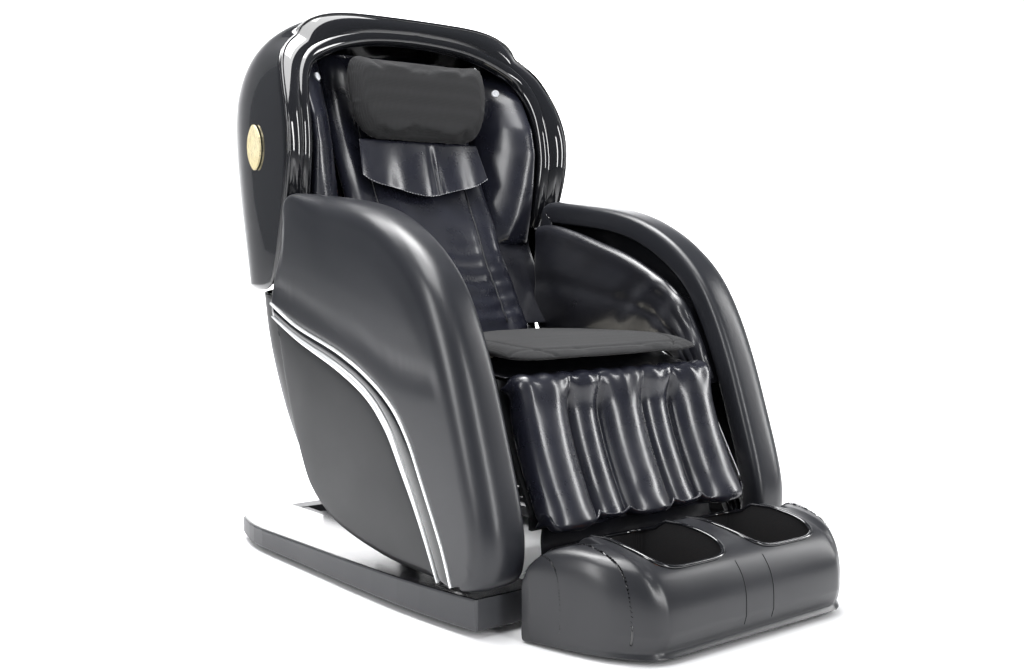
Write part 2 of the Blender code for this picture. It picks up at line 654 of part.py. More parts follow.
def head_pillow():
    slope = Vector((0.020, 0.225)).normalized()
    out = Vector((-slope.y, slope.x))
    foot = Vector((0.370, 0.908))

    def at(along, off):
        spot = foot + slope * along + out * off
        return (spot.x, spot.y)

    outline = [at(0.0, 0.004), at(-0.004, 0.022), at(0.010, 0.040), at(0.080, 0.046), at(0.160, 0.045),
               at(0.188, 0.038), at(0.200, 0.022), at(0.198, 0.006), at(0.12, 0.0035)]
    made = plate("head_pillow", smooth_line(outline, 1), -PILLOW_HALF, PILLOW_HALF, "charcoal_fabric", "X",
                 (0.0, *HEAD_HINGE))
    bevel(made, 0.016, 2)
    skirt = [at(-0.006, 0.012), at(-0.070, 0.026), at(-0.128, 0.044), at(-0.130, 0.049), at(-0.070, 0.0315),
             at(-0.006, 0.0185)]
    plate("pillow_skirt", skirt, -0.176, 0.176, "navy_leather", "X", (0.0, *HEAD_HINGE))


def rail_point(share, off=0.0):
    """y, z of a place along the roller rail, and off it towards the back pad."""
    low = Vector(RAIL_LOW)
    along = Vector(RAIL_HIGH) - low
    out = Vector((-along.y, along.x)).normalized()
    spot = low + along * share + out * off
    return (spot.x, spot.y)


def back_frame():
    """Two side rails, two cross bars, the roller rails and the recline lever, welded together."""
    side = [(0.158, 0.402), (0.182, 0.396), (0.204, 0.406), rail_point(-0.15, -0.016), rail_point(1.10, -0.016),
            rail_point(1.10, 0.014), rail_point(-0.05, 0.014), (0.160, 0.440)]
    frame = plate("back_frame", side, 0.215, 0.229, "painted_steel")
    boolean(frame, as_cutter(plate_mesh(side, -0.229, -0.215), "back_frame_left"), "UNION")
    for name, share in (("low", -0.14), ("top", 1.07)):
        at = rail_point(share)
        bar = rod_mesh((-0.220, *at), (0.220, *at), 0.0105, 14)
        boolean(frame, as_cutter(bar, "back_bar_" + name), "UNION")
    rail = [rail_point(-0.155, -0.010), rail_point(1.085, -0.010), rail_point(1.085, 0.010),
            rail_point(-0.155, 0.010)]
    for low in (-0.162, 0.150):
        boolean(frame, as_cutter(plate_mesh(rail, low, low + 0.012), "roller_rail_%d" % (low > 0)), "UNION")
    lever = [(0.160, 0.432), (0.175, 0.446), (0.316, 0.514), (0.331, 0.500), (0.322, 0.488), (0.206, 0.405),
             (0.252, 0.280), (0.250, 0.262), (0.236, 0.257), (0.226, 0.264), (0.158, 0.400)]
    lever = plate_mesh(lever, RECLINE_X - 0.005, RECLINE_X + 0.005)
    boolean(frame, as_cutter(lever, "recline_lever"), "UNION")
    drilled(frame, HIP_AXIS, SHAFT_RADIUS + RUNNING_GAP, -0.25, 0.25)


def lift_screw():
    start = rail_point(0.0, -0.012)
    end = rail_point(0.97, -0.012)
    rod("lift_screw", (0.0, *start), (0.0, *end), 0.007, "steel", 12, (0.0, *start))
    low = rail_point(-0.012, -0.012)
    down = rail_point(-0.105, -0.012)
    rod("lift_motor", (0.0, *down), (0.0, *low), 0.024, "motor_alloy", 20)


def carriage():
    centre = CARRIAGE_AT
    reach = 0.055
    parts = [rail_point(centre - reach, -0.036), rail_point(centre + reach, -0.036),
             rail_point(centre + reach, 0.004), rail_point(centre - reach, 0.004)]
    made = plate("carriage", parts, -0.148, 0.148, "dark_plastic", "X", (0.0, *rail_point(centre)))
    bore = rod_mesh((0.0, *rail_point(centre - 0.2, -0.012)), (0.0, *rail_point(centre + 0.2, -0.012)), 0.0085, 16)
    boolean(made, as_cutter(bore, "carriage_screw_bore"))
    for sign in (-1, 1):
        low, high = span(sign, 0.045, 0.060)
        lug = [rail_point(centre - 0.03, 0.0), rail_point(centre + 0.03, 0.0),
               rail_point(centre + 0.018, 0.030), rail_point(centre - 0.018, 0.030)]
        boolean(made, as_cutter(plate_mesh(lug, low, high), "carriage_lug_%d" % (sign + 1)), "UNION")
    drilled(made, rail_point(centre, 0.020), 0.0072, -0.2, 0.2)
    shaft = rail_point(centre, 0.020)
    rod("knead_shaft", (-0.130, *shaft), (0.130, *shaft), 0.0066, "steel", 16, (0.0, *shaft))


def roller_arm(side, sign):
    centre = CARRIAGE_AT
    shaft = rail_point(centre, 0.020)
    low, high = span(sign, 0.088, 0.096)
    outline = [rail_point(centre - 0.135, 0.031), rail_point(centre - 0.112, 0.025),
               rail_point(centre - 0.020, 0.008), rail_point(centre + 0.020, 0.008),
               rail_point(centre + 0.112, 0.025), rail_point(centre + 0.135, 0.031),
               rail_point(centre + 0.128, 0.046), rail_point(centre + 0.105, 0.041), rail_point(centre + 0.018, 0.034),
               rail_point(centre - 0.018, 0.034), rail_point(centre - 0.105, 0.041),
               rail_point(centre - 0.128, 0.046)]
    made = plate("roller_arm_" + side, outline, low, high, "dark_plastic", "X", (0.0, *shaft))
    drilled(made, shaft, 0.0071, low - 0.01, high + 0.01)
    for end, share in (("upper", 0.121), ("lower", -0.121)):
        hub = rail_point(centre + share, 0.036)
        low, high = span(sign, 0.0965, 0.1255)
        wheel = rod("roller_%s_%s" % (end, side), (low, *hub), (high, *hub), 0.024, "roller_plastic", 16,
                    (0.0, *hub))
        bevel(wheel, 0.008, 1)


def side_badge(side, sign):
    """An almond-shaped badge laid on the side of the back shell."""
    shell = bpy.data.objects["back_shell"]
    bpy.context.view_layer.update()
    skin = shell.evaluated_get(bpy.context.evaluated_depsgraph_get())
    centre = Vector((0.0, 0.437, 0.891))
    hit, spot, normal, _ = skin.ray_cast(Vector((sign * 0.6, centre.y, centre.z)), Vector((-sign, 0, 0)))
    outline = []
    count = 28
    for i in range(count):
        turn = 2 * math.pi * i / count
        wide = 0.034 * math.cos(turn)
        tall = 0.050 * math.sin(turn)
        wide *= 1.0 - 0.35 * abs(math.sin(turn)) ** 3
        outline.append((wide, tall))
    mesh = plate_mesh(outline, 0.0, 0.004, "Z")
    turn = normal.to_track_quat("Z", "Y").to_matrix().to_4x4()
    mesh.transform(turn)
    made = as_node(mesh, "side_badge_" + side, "gold_badge")
    made.data.transform(Matrix.Translation(spot + normal * 0.0022))


# ---- leg rest -----------------------------------------------------------------------------------
def calf_pad(name, low, high, proud, width=0.026, depth=CALF_THICK):
    front = [(y + proud, z) for y, z in smooth_line(CALF_FRONT, 1)]
    rear = [(y + depth, z - 0.002) for y, z in smooth_line(CALF_FRONT, 1)]
    tip = [(front[-1][0] + 0.006, 0.171), (rear[-1][0] - 0.003, 0.168)]
    made = plate(name, front + tip + list(reversed(rear)), low, high, "navy_leather", "X",
                 (0.0, *KNEE_AXIS))
    bevel(made, width, 2)


def calf_rest():
    calf_pad("calf_pad_left", -CALF_HALF, -0.1565, 0.0)
    calf_pad("calf_pad_right", 0.1565, CALF_HALF, 0.0)
    calf_pad("calf_pad_centre", -0.046, 0.046, 0.006, 0.018, 0.0430)
    calf_pad("calf_pad_floor", -0.1555, 0.1555, 0.046, 0.008)
    skin = [(y + CALF_THICK + 0.003, z) for y, z in smooth_line(CALF_FRONT, 1)]
    skin = skin + [(skin[-1][0], 0.166)]
    back = [(y + 0.009, z) for y, z in skin]
    tray = plate("calf_tray", skin + list(reversed(back)), -0.250, 0.250, "dark_plastic", "X", (0.0, *KNEE_AXIS))
    y, z = KNEE_AXIS
    bracket = [(y - 0.0125, z + 0.046), (y + 0.016, z + 0.018), (y + 0.020, z - 0.012), (y + 0.006, z - 0.080),
               (y - 0.030, z - 0.110), (y - 0.076, z - 0.110), (y - 0.044, z - 0.045), (y - 0.029, z - 0.005)]
    lever = [(y - 0.020, z + 0.016), (y + 0.016, z + 0.016), (y + 0.018, z - 0.016), (y + 0.042, z - 0.086),
             (y + 0.036, z - 0.102), (y + 0.022, z - 0.100), (y - 0.041, z - 0.040)]
    for name, outline, low, high in (("left", bracket, -0.244, -0.236), ("right", bracket, 0.236, 0.244),
                                     ("lever", lever, LIFT_X - 0.005, LIFT_X + 0.005)):
        boolean(tray, as_cutter(plate_mesh(outline, low, high), "knee_bracket_" + name), "UNION")
    boolean(tray, as_cutter(rod_mesh((-0.3, *KNEE_AXIS), (0.3, *KNEE_AXIS), SHAFT_RADIUS + RUNNING_GAP, 20),
                            "knee_bore"))


FOOT_SIDE = [(-0.694, 0.050), (-0.692, 0.090), (-0.680, 0.122), (-0.655, 0.148), (-0.615, 0.164),
             (-0.560, 0.173), (-0.510, 0.175), (-0.486, 0.168), (-0.476, 0.150), (-0.440, 0.146),
             (-0.395, 0.134), (-0.378, 0.110), (-0.374, 0.050), (-0.380, 0.007), (-0.664, 0.007),
             (-0.684, 0.022)]
FOOT_PLAN = [(0.0, -0.72), (0.150, -0.715), (0.225, -0.700), (0.262, -0.668), (0.290, -0.620),
             (0.316, -0.540), (0.332, -0.462), (0.318, -0.458), (0.250, -0.457), (0.230, -0.440),
             (0.228, -0.350), (0.0, -0.350)]


FOOT_UNDER = [(0.140, -0.672), (0.215, -0.662), (0.248, -0.630), (0.272, -0.580), (0.300, -0.480), (0.216, -0.476),
              (0.214, -0.390)]


def foot_unit():
    body = plate("foot_shell", FOOT_SIDE, -0.36, 0.36, "grey_plastic")
    plan = FOOT_PLAN + [(-x, y) for x, y in reversed(FOOT_PLAN[1:-1])]
    boolean(body, as_cutter(plate_mesh(plan, -0.05, 0.3, "Z"), "foot_plan"), "INTERSECT")
    applied(body)
    cleaned(body.data)
    bevel(body, 0.010, 2, 35)
    for side, sign in (("left", -1), ("right", 1)):
        low, high = span(sign, 0.030, 0.205)
        well = [(-0.655, 0.055), (-0.420, 0.055), (-0.420, 0.300), (-0.600, 0.300), (-0.640, 0.110)]
        cutter = as_cutter(plate_mesh(well, low, high), "foot_well_" + side)
        boolean(body, cutter)
    under = FOOT_UNDER + [(-x, y) for x, y in reversed(FOOT_UNDER)]
    boolean(body, as_cutter(plate_mesh(under, -0.010, 0.048, "Z"), "foot_underside"))
    for side, sign in (("left", -1), ("right", 1)):
        x = sign * 0.190
        start = Vector((x, -0.3520, 0.1190))
        guide = rod_mesh(start, start - LEG_SLOPE * 0.185, 0.008, 12)
        boolean(body, as_cutter(guide, "foot_guide_" + side), "UNION")
        mesh = plate_mesh([(-0.420, 0.090), (-0.345, 0.090), (-0.345, 0.128), (-0.420, 0.128)], x - 0.012,
                          x + 0.012)
        boolean(body, as_cutter(mesh, "foot_guide_root_" + side), "UNION")


def sole_roller(side, sign):
    low, high = span(sign, 0.055, 0.180)
    hub = (-0.540, 0.0805)
    made = rod("sole_roller_" + side, (low, *hub), (high, *hub), 0.0125, "roller_plastic", 16, (0.0, *hub))
    bevel(made, 0.003, 1)


# ---- the chair ----------------------------------------------------------------------------------
clear_scene()
CHAIR = new_collection("massage_chair")
CUTTERS = new_collection("cutters", True)

both_sides(runner)
base_frame()
control_box()
power_switch()
drives()
seat_frame()
seat_inner()
cushion()
seat_flap()
both_sides(arm_shell)
both_sides(arm_bolster)
both_sides(trims)
back_shells()
hood_rim()
back_pad()
both_sides(wing_pad)
head_pillow()
back_frame()
lift_screw()
carriage()
both_sides(roller_arm)
both_sides(side_badge)
calf_rest()
foot_unit()
both_sides(sole_roller)
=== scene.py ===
import math

import bmesh
import bpy
from mathutils import Matrix, Vector
from mathutils.bvhtree import BVHTree


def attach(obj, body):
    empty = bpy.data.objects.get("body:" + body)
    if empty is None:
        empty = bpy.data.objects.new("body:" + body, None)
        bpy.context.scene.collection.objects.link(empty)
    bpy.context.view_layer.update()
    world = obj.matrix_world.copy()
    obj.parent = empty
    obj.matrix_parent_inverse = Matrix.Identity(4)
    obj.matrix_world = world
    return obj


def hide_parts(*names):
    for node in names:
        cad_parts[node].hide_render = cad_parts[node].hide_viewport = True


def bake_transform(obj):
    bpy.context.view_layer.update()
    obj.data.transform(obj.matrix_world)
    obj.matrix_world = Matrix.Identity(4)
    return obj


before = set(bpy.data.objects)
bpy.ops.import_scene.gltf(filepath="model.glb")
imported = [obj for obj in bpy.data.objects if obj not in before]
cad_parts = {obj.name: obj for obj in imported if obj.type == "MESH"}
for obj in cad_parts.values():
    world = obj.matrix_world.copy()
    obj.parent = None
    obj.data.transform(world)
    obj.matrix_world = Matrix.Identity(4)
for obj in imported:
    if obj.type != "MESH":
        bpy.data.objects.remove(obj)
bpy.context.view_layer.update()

# ---- shapes shared with the CAD, in metres ------------------------------------------------------
ARM_OUTER_X = 0.398
ARM_INNER_X = 0.300
GAP = 0.0006
TRIM_UPPER_WIDTH = 0.006
TRIM_LOWER_WIDTH = 0.015
TRIM_UPPER_LINE = [(0.338, 0.553), (0.220, 0.509), (0.052, 0.468), (-0.062, 0.428), (-0.150, 0.380),
                   (-0.207, 0.322), (-0.249, 0.255), (-0.312, 0.149), (-0.342, 0.081)]
TRIM_LOWER_LINE = [(0.336, 0.523), (0.220, 0.484), (0.053, 0.440), (-0.061, 0.395), (-0.132, 0.340),
                   (-0.176, 0.281), (-0.226, 0.206), (-0.264, 0.140), (-0.296, 0.079)]
CROWN_LINE = [(0.338, 0.570), (0.322, 0.610), (0.292, 0.670), (0.284, 0.720), (0.280, 0.762),
              (0.250, 0.782), (0.180, 0.778), (0.080, 0.768), (0.000, 0.756), (-0.070, 0.737),
              (-0.140, 0.706), (-0.205, 0.664), (-0.262, 0.610), (-0.308, 0.540), (-0.350, 0.450),
              (-0.388, 0.345), (-0.424, 0.235), (-0.437, 0.165), (-0.430, 0.110), (-0.404, 0.084),
              (-0.365, 0.077)]
CREASE_LINE = [(0.300, 0.588), (0.133, 0.538), (-0.026, 0.497), (-0.168, 0.459), (-0.267, 0.449),
               (-0.385, 0.449)]
BOTTOM_LINE = [(-0.298, 0.079), (-0.231, 0.078), (-0.130, 0.080), (-0.056, 0.087), (0.025, 0.099),
               (0.101, 0.118), (0.176, 0.157), (0.219, 0.203), (0.271, 0.303), (0.309, 0.407),
               (0.328, 0.480)]
BACK_SHELL_ROWS = [(0.614, 0.583, 0.364, 0.392, 0.572), (0.652, 0.688, 0.372, 0.338, 0.684),
                   (0.684, 0.800, 0.380, 0.288, 0.800), (0.701, 0.920, 0.385, 0.268, 0.915),
                   (0.694, 1.015, 0.381, 0.298, 1.000), (0.640, 1.108, 0.370, 0.332, 1.055),
                   (0.560, 1.166, 0.358, 0.352, 1.092), (0.470, 1.196, 0.334, 0.372, 1.120),
                   (0.385, 1.203, 0.302, 0.384, 1.142)]
REAR_COVER_ROWS = [(0.596, 0.574, 0.340, 0.352, 0.562), (0.571, 0.478, 0.341, 0.346, 0.470),
                   (0.525, 0.388, 0.341, 0.326, 0.386), (0.467, 0.301, 0.342, 0.290, 0.300),
                   (0.410, 0.228, 0.338, 0.246, 0.224), (0.364, 0.176, 0.333, 0.206, 0.170)]
SHELL_BEND = 0.44
ROOF_BEND = 1.15
SHELL_COLUMNS = 8
SHELL_WALL = 0.006
HOOD_RIM_FOOT = [(0.328, 0.338, 0.722), (0.331, 0.318, 0.780), (0.333, 0.303, 0.870),
                 (0.332, 0.304, 0.915)]
HOOD_RIM = [(0.330, 0.312, 0.960), (0.326, 0.326, 1.005), (0.314, 0.345, 1.050), (0.290, 0.362, 1.085),
            (0.250, 0.374, 1.112), (0.190, 0.384, 1.136), (0.110, 0.390, 1.152), (0.0, 0.392, 1.158)]
HOOD_RIM_RADIUS = 0.0188
BACK_PAD_FRONT = [(0.158, 0.474), (0.205, 0.545), (0.262, 0.640), (0.312, 0.740), (0.358, 0.830),
                  (0.402, 0.920), (0.438, 1.010), (0.462, 1.090), (0.470, 1.130)]
BACK_PAD_THICK = 0.045
BACK_PAD_HALF = 0.198
BOLSTER_TOP = [(0.262, 0.722), (0.200, 0.724), (0.110, 0.705), (0.030, 0.682), (-0.050, 0.658),
               (-0.120, 0.628), (-0.190, 0.590), (-0.240, 0.545), (-0.285, 0.470), (-0.318, 0.396)]
FOOT_SIDE = [(-0.694, 0.050), (-0.692, 0.090), (-0.680, 0.122), (-0.655, 0.148), (-0.615, 0.164),
             (-0.560, 0.173), (-0.510, 0.175), (-0.486, 0.168), (-0.470, 0.156), (-0.440, 0.148),
             (-0.400, 0.134), (-0.378, 0.110), (-0.374, 0.050), (-0.380, 0.007), (-0.664, 0.007),
             (-0.684, 0.022)]


# ---- lines --------------------------------------------------------------------------------------
def smooth_line(points, per=2):
    """A Catmull-Rom line through the points, in two or three dimensions."""
    line = []
    last = len(points) - 1
    for i in range(last):
        before = Vector(points[max(i - 1, 0)])
        start = Vector(points[i])
        end = Vector(points[i + 1])
        after = Vector(points[min(i + 2, last)])
        for step in range(per):
            t = step / per
            line.append(tuple(0.5 * (2 * start + (end - before) * t
                        + (2 * before - 5 * start + 4 * end - after) * t * t
                        + (3 * start - before - 3 * end + after) * t ** 3)))
    line.append(tuple(points[-1]))
    return line


def spline_limit(points, per):
    """The smooth line that a subdivided open edge with these corner points ends as."""
    work = [Vector(point) for point in points]
    work = [2 * work[0] - work[1]] + work + [2 * work[-1] - work[-2]]
    line = []
    for i in range(1, len(work) - 2):
        a, b, c, d = work[i - 1:i + 3]
        for step in range(per):
            t = step / per
            line.append(tuple((a * (1 - t) ** 3 + b * (3 * t ** 3 - 6 * t * t + 4)
                        + c * (-3 * t ** 3 + 3 * t * t + 3 * t + 1) + d * t ** 3) / 6))
    line.append(tuple(points[-1]))
    return line


def resampled(points, count):
    """The same line with that many points, evenly spaced."""
    spots = [Vector(point) for point in points]
    far = [0.0]
    for a, b in zip(spots, spots[1:]):
        far.append(far[-1] + (b - a).length)
    line = []
    place = 0
    for i in range(count):
        want = far[-1] * i / (count - 1)
        while place < len(far) - 2 and far[place + 1] < want:
            place += 1
        share = (want - far[place]) / max(far[place + 1] - far[place], 1e-9)
        line.append(tuple(spots[place].lerp(spots[place + 1], min(max(share, 0.0), 1.0))))
    return line


def lefts(line):
    """The unit direction to the left of the line at each of its points."""
    found = []
    last = len(line) - 1
    for i in range(last + 1):
        ahead = Vector(line[min(i + 1, last)]) - Vector(line[max(i - 1, 0)])
        ahead.normalize()
        found.append(Vector((-ahead.y, ahead.x)))
    return found


def shifted(line, distance):
    moved = []
    last = len(line) - 1
    for i, (point, left) in enumerate(zip(line, lefts(line))):
        by = distance(i / last) if callable(distance) else distance
        moved.append((point[0] + left.x * by, point[1] + left.y * by))
    return moved


def out_and_back(line):
    """A line that ends at the chair's middle, carried on down the other side."""
    return line + [(-x, y, z) for x, y, z in reversed(line[:-1])]


def ease(t):
    t = min(max(t, 0.0), 1.0)
    return t * t * (3 - 2 * t)


def signed_distance(line, y, z):
    """Distance of a place from a line in the y, z plane, positive to its left."""
    best = 1e9
    sign = 1.0
    for a, b in zip(line, line[1:]):
        dy = b[0] - a[0]
        dz = b[1] - a[1]
        t = ((y - a[0]) * dy + (z - a[1]) * dz) / (dy * dy + dz * dz)
        t = min(max(t, 0.0), 1.0)
        far = math.hypot(y - a[0] - dy * t, z - a[1] - dz * t)
        if far < best:
            best = far
            sign = 1.0 if dy * (z - a[1]) - dz * (y - a[0]) > 0 else -1.0
    return best * sign


# ---- materials ----------------------------------------------------------------------------------
class Look:
    """A node material that is put together step by step."""

    def __init__(self, name, colour, roughness, metallic=0.0, **values):
        self.made = bpy.data.materials.new(name)
        self.made.use_nodes = True
        self.nodes = self.made.node_tree.nodes
        self.links = self.made.node_tree.links
        self.shader = self.nodes["Principled BSDF"]
        self.shader.inputs["Base Color"].default_value = (*colour, 1.0)
        self.shader.inputs["Roughness"].default_value = roughness
        self.shader.inputs["Metallic"].default_value = metallic
        for key, value in values.items():
            self.feed(self.shader.inputs[key.replace("_", " ")], value)
        self.made.diffuse_color = (*colour, 1.0)
        self.place = self.nodes.new("ShaderNodeTexCoord").outputs["Object"]
        self.last_bump = None

    def node(self, kind, **inputs):
        """A new node. Each input is a value or the output that feeds it; _ stands for a space."""
        made = self.nodes.new(kind)
        for key, value in inputs.items():
            self.feed(made.inputs[key.replace("_", " ")], value)
        return made

    def feed(self, socket, value):
        if isinstance(value, bpy.types.NodeSocket):
            self.links.new(value, socket)
        else:
            socket.default_value = value

    def placed(self, stretch):
        if not stretch:
            return self.place
        return self.node("ShaderNodeMapping", Scale=stretch, Vector=self.place).outputs["Vector"]

    def noise(self, scale, detail=3.0, stretch=None, distortion=0.0):
        made = self.node("ShaderNodeTexNoise", Scale=scale, Detail=detail, Distortion=distortion,
                         Vector=self.placed(stretch))
        return made.outputs["Fac"]

    def cells(self, scale):
        made = self.node("ShaderNodeTexVoronoi", Scale=scale, Vector=self.place)
        made.feature = "DISTANCE_TO_EDGE"
        return made.outputs["Distance"]

    def wave(self, scale, direction, stretch=None):
        made = self.node("ShaderNodeTexWave", Scale=scale, Distortion=0.6, Detail_Scale=3.0,
                         Vector=self.placed(stretch))
        made.bands_direction = direction
        return made.outputs["Fac"]

    def math(self, kind, a, b):
        made = self.node("ShaderNodeMath")
        made.operation = kind
        self.feed(made.inputs[0], a)
        self.feed(made.inputs[1], b)
        return made.outputs[0]

    def ranged(self, value, low, high, from_low=0.0, from_high=1.0):
        made = self.node("ShaderNodeMapRange", From_Min=from_low, From_Max=from_high, To_Min=low, To_Max=high,
                         Value=value)
        return made.outputs["Result"]

    def rough(self, value, low, high, from_low=0.3, from_high=0.7):
        self.feed(self.shader.inputs["Roughness"], self.ranged(value, low, high, from_low, from_high))

    def tint(self, value, low, high, from_low=0.3, from_high=0.7):
        made = self.node("ShaderNodeMix", Factor=self.ranged(value, 0.0, 1.0, from_low, from_high))
        made.data_type = "RGBA"
        made.inputs[6].default_value = (*low, 1.0)
        made.inputs[7].default_value = (*high, 1.0)
        self.feed(self.shader.inputs["Base Color"], made.outputs[2])

    def bump(self, value, strength, distance):
        made = self.node("ShaderNodeBump", Strength=strength, Distance=distance, Height=value)
        if self.last_bump:
            self.feed(made.inputs["Normal"], self.last_bump)
        self.last_bump = made.outputs["Normal"]
        self.feed(self.shader.inputs["Normal"], self.last_bump)


LOOKS = {}


def moulded(name, colour, high, rough, spread, grain=900.0, grain_depth=0.00004, **values):
    """Moulded plastic: a fine spark grain, slow changes of gloss and a little dust in the colour."""
    look = Look(name, colour, rough, **values)
    look.tint(look.noise(2.4, 4.0), colour, high)
    look.rough(look.noise(5.0, 5.0), rough - spread, rough + spread)
    look.bump(look.noise(grain, 2.0), 0.30, grain_depth)
    look.bump(look.noise(7.0, 1.0), 0.10, 0.0006)
    LOOKS[name] = look.made


def leather(name, colour, high, rough):
    """Coated leather: pebbled grain in cells, fine pores, slow creases and worn gloss."""
    look = Look(name, colour, rough, Coat_Weight=0.30, Coat_Roughness=0.16, Specular_IOR_Level=0.45)
    look.tint(look.noise(9.0, 5.0), colour, high)
    look.rough(look.noise(16.0, 6.0), rough - 0.07, rough + 0.08)
    look.bump(look.cells(420.0), 0.22, 0.00012)
    look.bump(look.noise(1500.0, 2.0), 0.12, 0.00004)
    look.bump(look.noise(26.0, 3.0, distortion=0.8), 0.10, 0.0008)
    LOOKS[name] = look.made


def fabric(name, colour, high, thread=620.0, sheen=0.35):
    """Woven fabric: two crossing sets of threads, slubs in the yarn and a soft sheen."""
    look = Look(name, colour, 0.86, Sheen_Weight=sheen, Sheen_Roughness=0.45, Specular_IOR_Level=0.3)
    across = look.wave(thread / 6.28, "X")
    along = look.wave(thread / 6.28, "Z", (1.0, 1.0, 1.0))
    deep = look.wave(thread / 6.28, "Y")
    woven = look.math("MULTIPLY", across, look.math("MAXIMUM", along, deep))
    slub = look.noise(240.0, 3.0, (1.0, 1.0, 4.0))
    look.tint(look.math("ADD", look.math("MULTIPLY", woven, 0.55), look.math("MULTIPLY", slub, 0.6)),
              colour, high, 0.2, 0.8)
    look.rough(slub, 0.78, 0.95)
    look.bump(woven, 0.55, 0.00045)
    look.bump(look.noise(60.0, 4.0), 0.20, 0.0008)
    LOOKS[name] = look.made


def metal(name, colour, high, rough, spread, brush=(1.0, 1.0, 40.0), metallic=1.0):
    """Metal with drawn lines, slow changes of gloss and small marks."""
    look = Look(name, colour, rough, metallic)
    look.tint(look.noise(12.0, 5.0), colour, high)
    look.rough(look.noise(60.0, 4.0, brush), rough - spread, rough + spread)
    look.bump(look.noise(160.0, 3.0, brush), 0.10, 0.00008)
    LOOKS[name] = look.made


def make_looks():
    moulded("satin_shell", (0.0105, 0.0112, 0.0140), (0.0145, 0.0152, 0.0190), 0.33, 0.04,
            Specular_IOR_Level=0.42, Coat_Weight=0.10, Coat_Roughness=0.20)
    moulded("panel_grey", (0.0150, 0.0155, 0.0170), (0.0195, 0.0200, 0.0215), 0.44, 0.05,
            Specular_IOR_Level=0.38)
    moulded("foot_satin", (0.0125, 0.0130, 0.0155), (0.0165, 0.0170, 0.0200), 0.35, 0.05,
            Specular_IOR_Level=0.42, Coat_Weight=0.10, Coat_Roughness=0.22)
    moulded("gloss_black", (0.004, 0.0045, 0.0055), (0.007, 0.007, 0.009), 0.07, 0.03, grain=300.0,
            grain_depth=0.00001, Coat_Weight=0.6, Coat_Roughness=0.03)
    moulded("gloss_wine", (0.010, 0.0045, 0.0055), (0.014, 0.006, 0.008), 0.12, 0.04, grain=300.0,
            grain_depth=0.00001, Coat_Weight=0.5, Coat_Roughness=0.05)
    moulded("dark_plastic", (0.012, 0.0125, 0.014), (0.020, 0.021, 0.023), 0.48, 0.07, grain=700.0,
            grain_depth=0.00008)
    moulded("grey_plastic", (0.030, 0.031, 0.034), (0.040, 0.041, 0.045), 0.38, 0.05)
    moulded("roller_plastic", (0.50, 0.17, 0.05), (0.58, 0.22, 0.07), 0.38, 0.06, grain=500.0)
    moulded("rubber", (0.010, 0.010, 0.011), (0.020, 0.020, 0.021), 0.82, 0.07, grain=500.0,
            grain_depth=0.00015)
    moulded("white_lamp", (0.78, 0.80, 0.84), (0.86, 0.88, 0.92), 0.25, 0.05)
    moulded("painted_steel", (0.020, 0.021, 0.024), (0.034, 0.035, 0.039), 0.46, 0.08, grain=420.0,
            grain_depth=0.00012)
    moulded("dark_shell", (0.0060, 0.0062, 0.0072), (0.0085, 0.0088, 0.0100), 0.36, 0.05,
            Specular_IOR_Level=0.40)
    leather("navy_leather", (0.0068, 0.0073, 0.0120), (0.0105, 0.0113, 0.0185), 0.28)
    leather("black_leather", (0.0060, 0.0062, 0.0085), (0.0095, 0.0100, 0.0140), 0.34)
    fabric("charcoal_fabric", (0.0065, 0.0066, 0.0072), (0.0200, 0.0202, 0.0215), 620.0, 0.06)
    fabric("beige_fabric", (0.50, 0.47, 0.40), (0.68, 0.65, 0.58), 520.0, 0.2)
    fabric("liner_fabric", (0.004, 0.004, 0.005), (0.010, 0.010, 0.011), 700.0, 0.04)
    fabric("pale_cord", (0.55, 0.56, 0.60), (0.75, 0.76, 0.80), 1500.0, 0.2)
    # The silver trim has a pale base and is only part metal, so it reads bright white from every side: its
    # real silver colour with a painted reflection laid over it.
    metal("silver_trim", (0.78, 0.79, 0.80), (0.90, 0.91, 0.92), 0.20, 0.05, metallic=0.40)
    metal("gold_badge", (0.84, 0.70, 0.36), (0.93, 0.82, 0.52), 0.28, 0.06, (1.0, 30.0, 1.0), 0.40)
    metal("steel", (0.34, 0.35, 0.37), (0.46, 0.47, 0.49), 0.34, 0.08)
    metal("motor_alloy", (0.42, 0.43, 0.44), (0.54, 0.55, 0.56), 0.42, 0.08)


def runner_look():
    """Satin sides and a gloss black top, told apart by which way the surface faces."""
    look = Look("runner_finish", (0.034, 0.035, 0.038), 0.38, Specular_IOR_Level=0.42)
    split = look.node("ShaderNodeSeparateXYZ", Vector=look.node("ShaderNodeNewGeometry").outputs["Normal"])
    look.tint(split.outputs["Z"], (0.036, 0.037, 0.041), (0.006, 0.006, 0.007), 0.60, 0.75)
    speck = look.math("MULTIPLY", look.noise(6.0, 5.0), 0.12)
    gloss = look.ranged(split.outputs["Z"], 0.34, 0.14, 0.60, 0.75)
    look.feed(look.shader.inputs["Roughness"], look.math("ADD", gloss, speck))
    look.bump(look.noise(900.0, 2.0), 0.25, 0.00004)
    LOOKS["runner_finish"] = look.made


# ---- pieces -------------------------------------------------------------------------------------
def smoothed(mesh):
    mesh.polygons.foreach_set("use_smooth", [True] * len(mesh.polygons))


def as_piece(mesh, name, look, body):
    mesh.name = name
    smoothed(mesh)
    made = bpy.data.objects.new(name, mesh)
    bpy.context.scene.collection.objects.link(made)
    mesh.materials.clear()
    mesh.materials.append(LOOKS[look])
    if body:
        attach(made, body)
    return made


def mesh_from(points, faces):
    mesh = bpy.data.meshes.new("mesh")
    mesh.from_pydata([tuple(point) for point in points], [], faces)
    mesh.update()
    work = bmesh.new()
    work.from_mesh(mesh)
    bmesh.ops.recalc_face_normals(work, faces=work.faces)
    work.to_mesh(mesh)
    work.free()
    return mesh


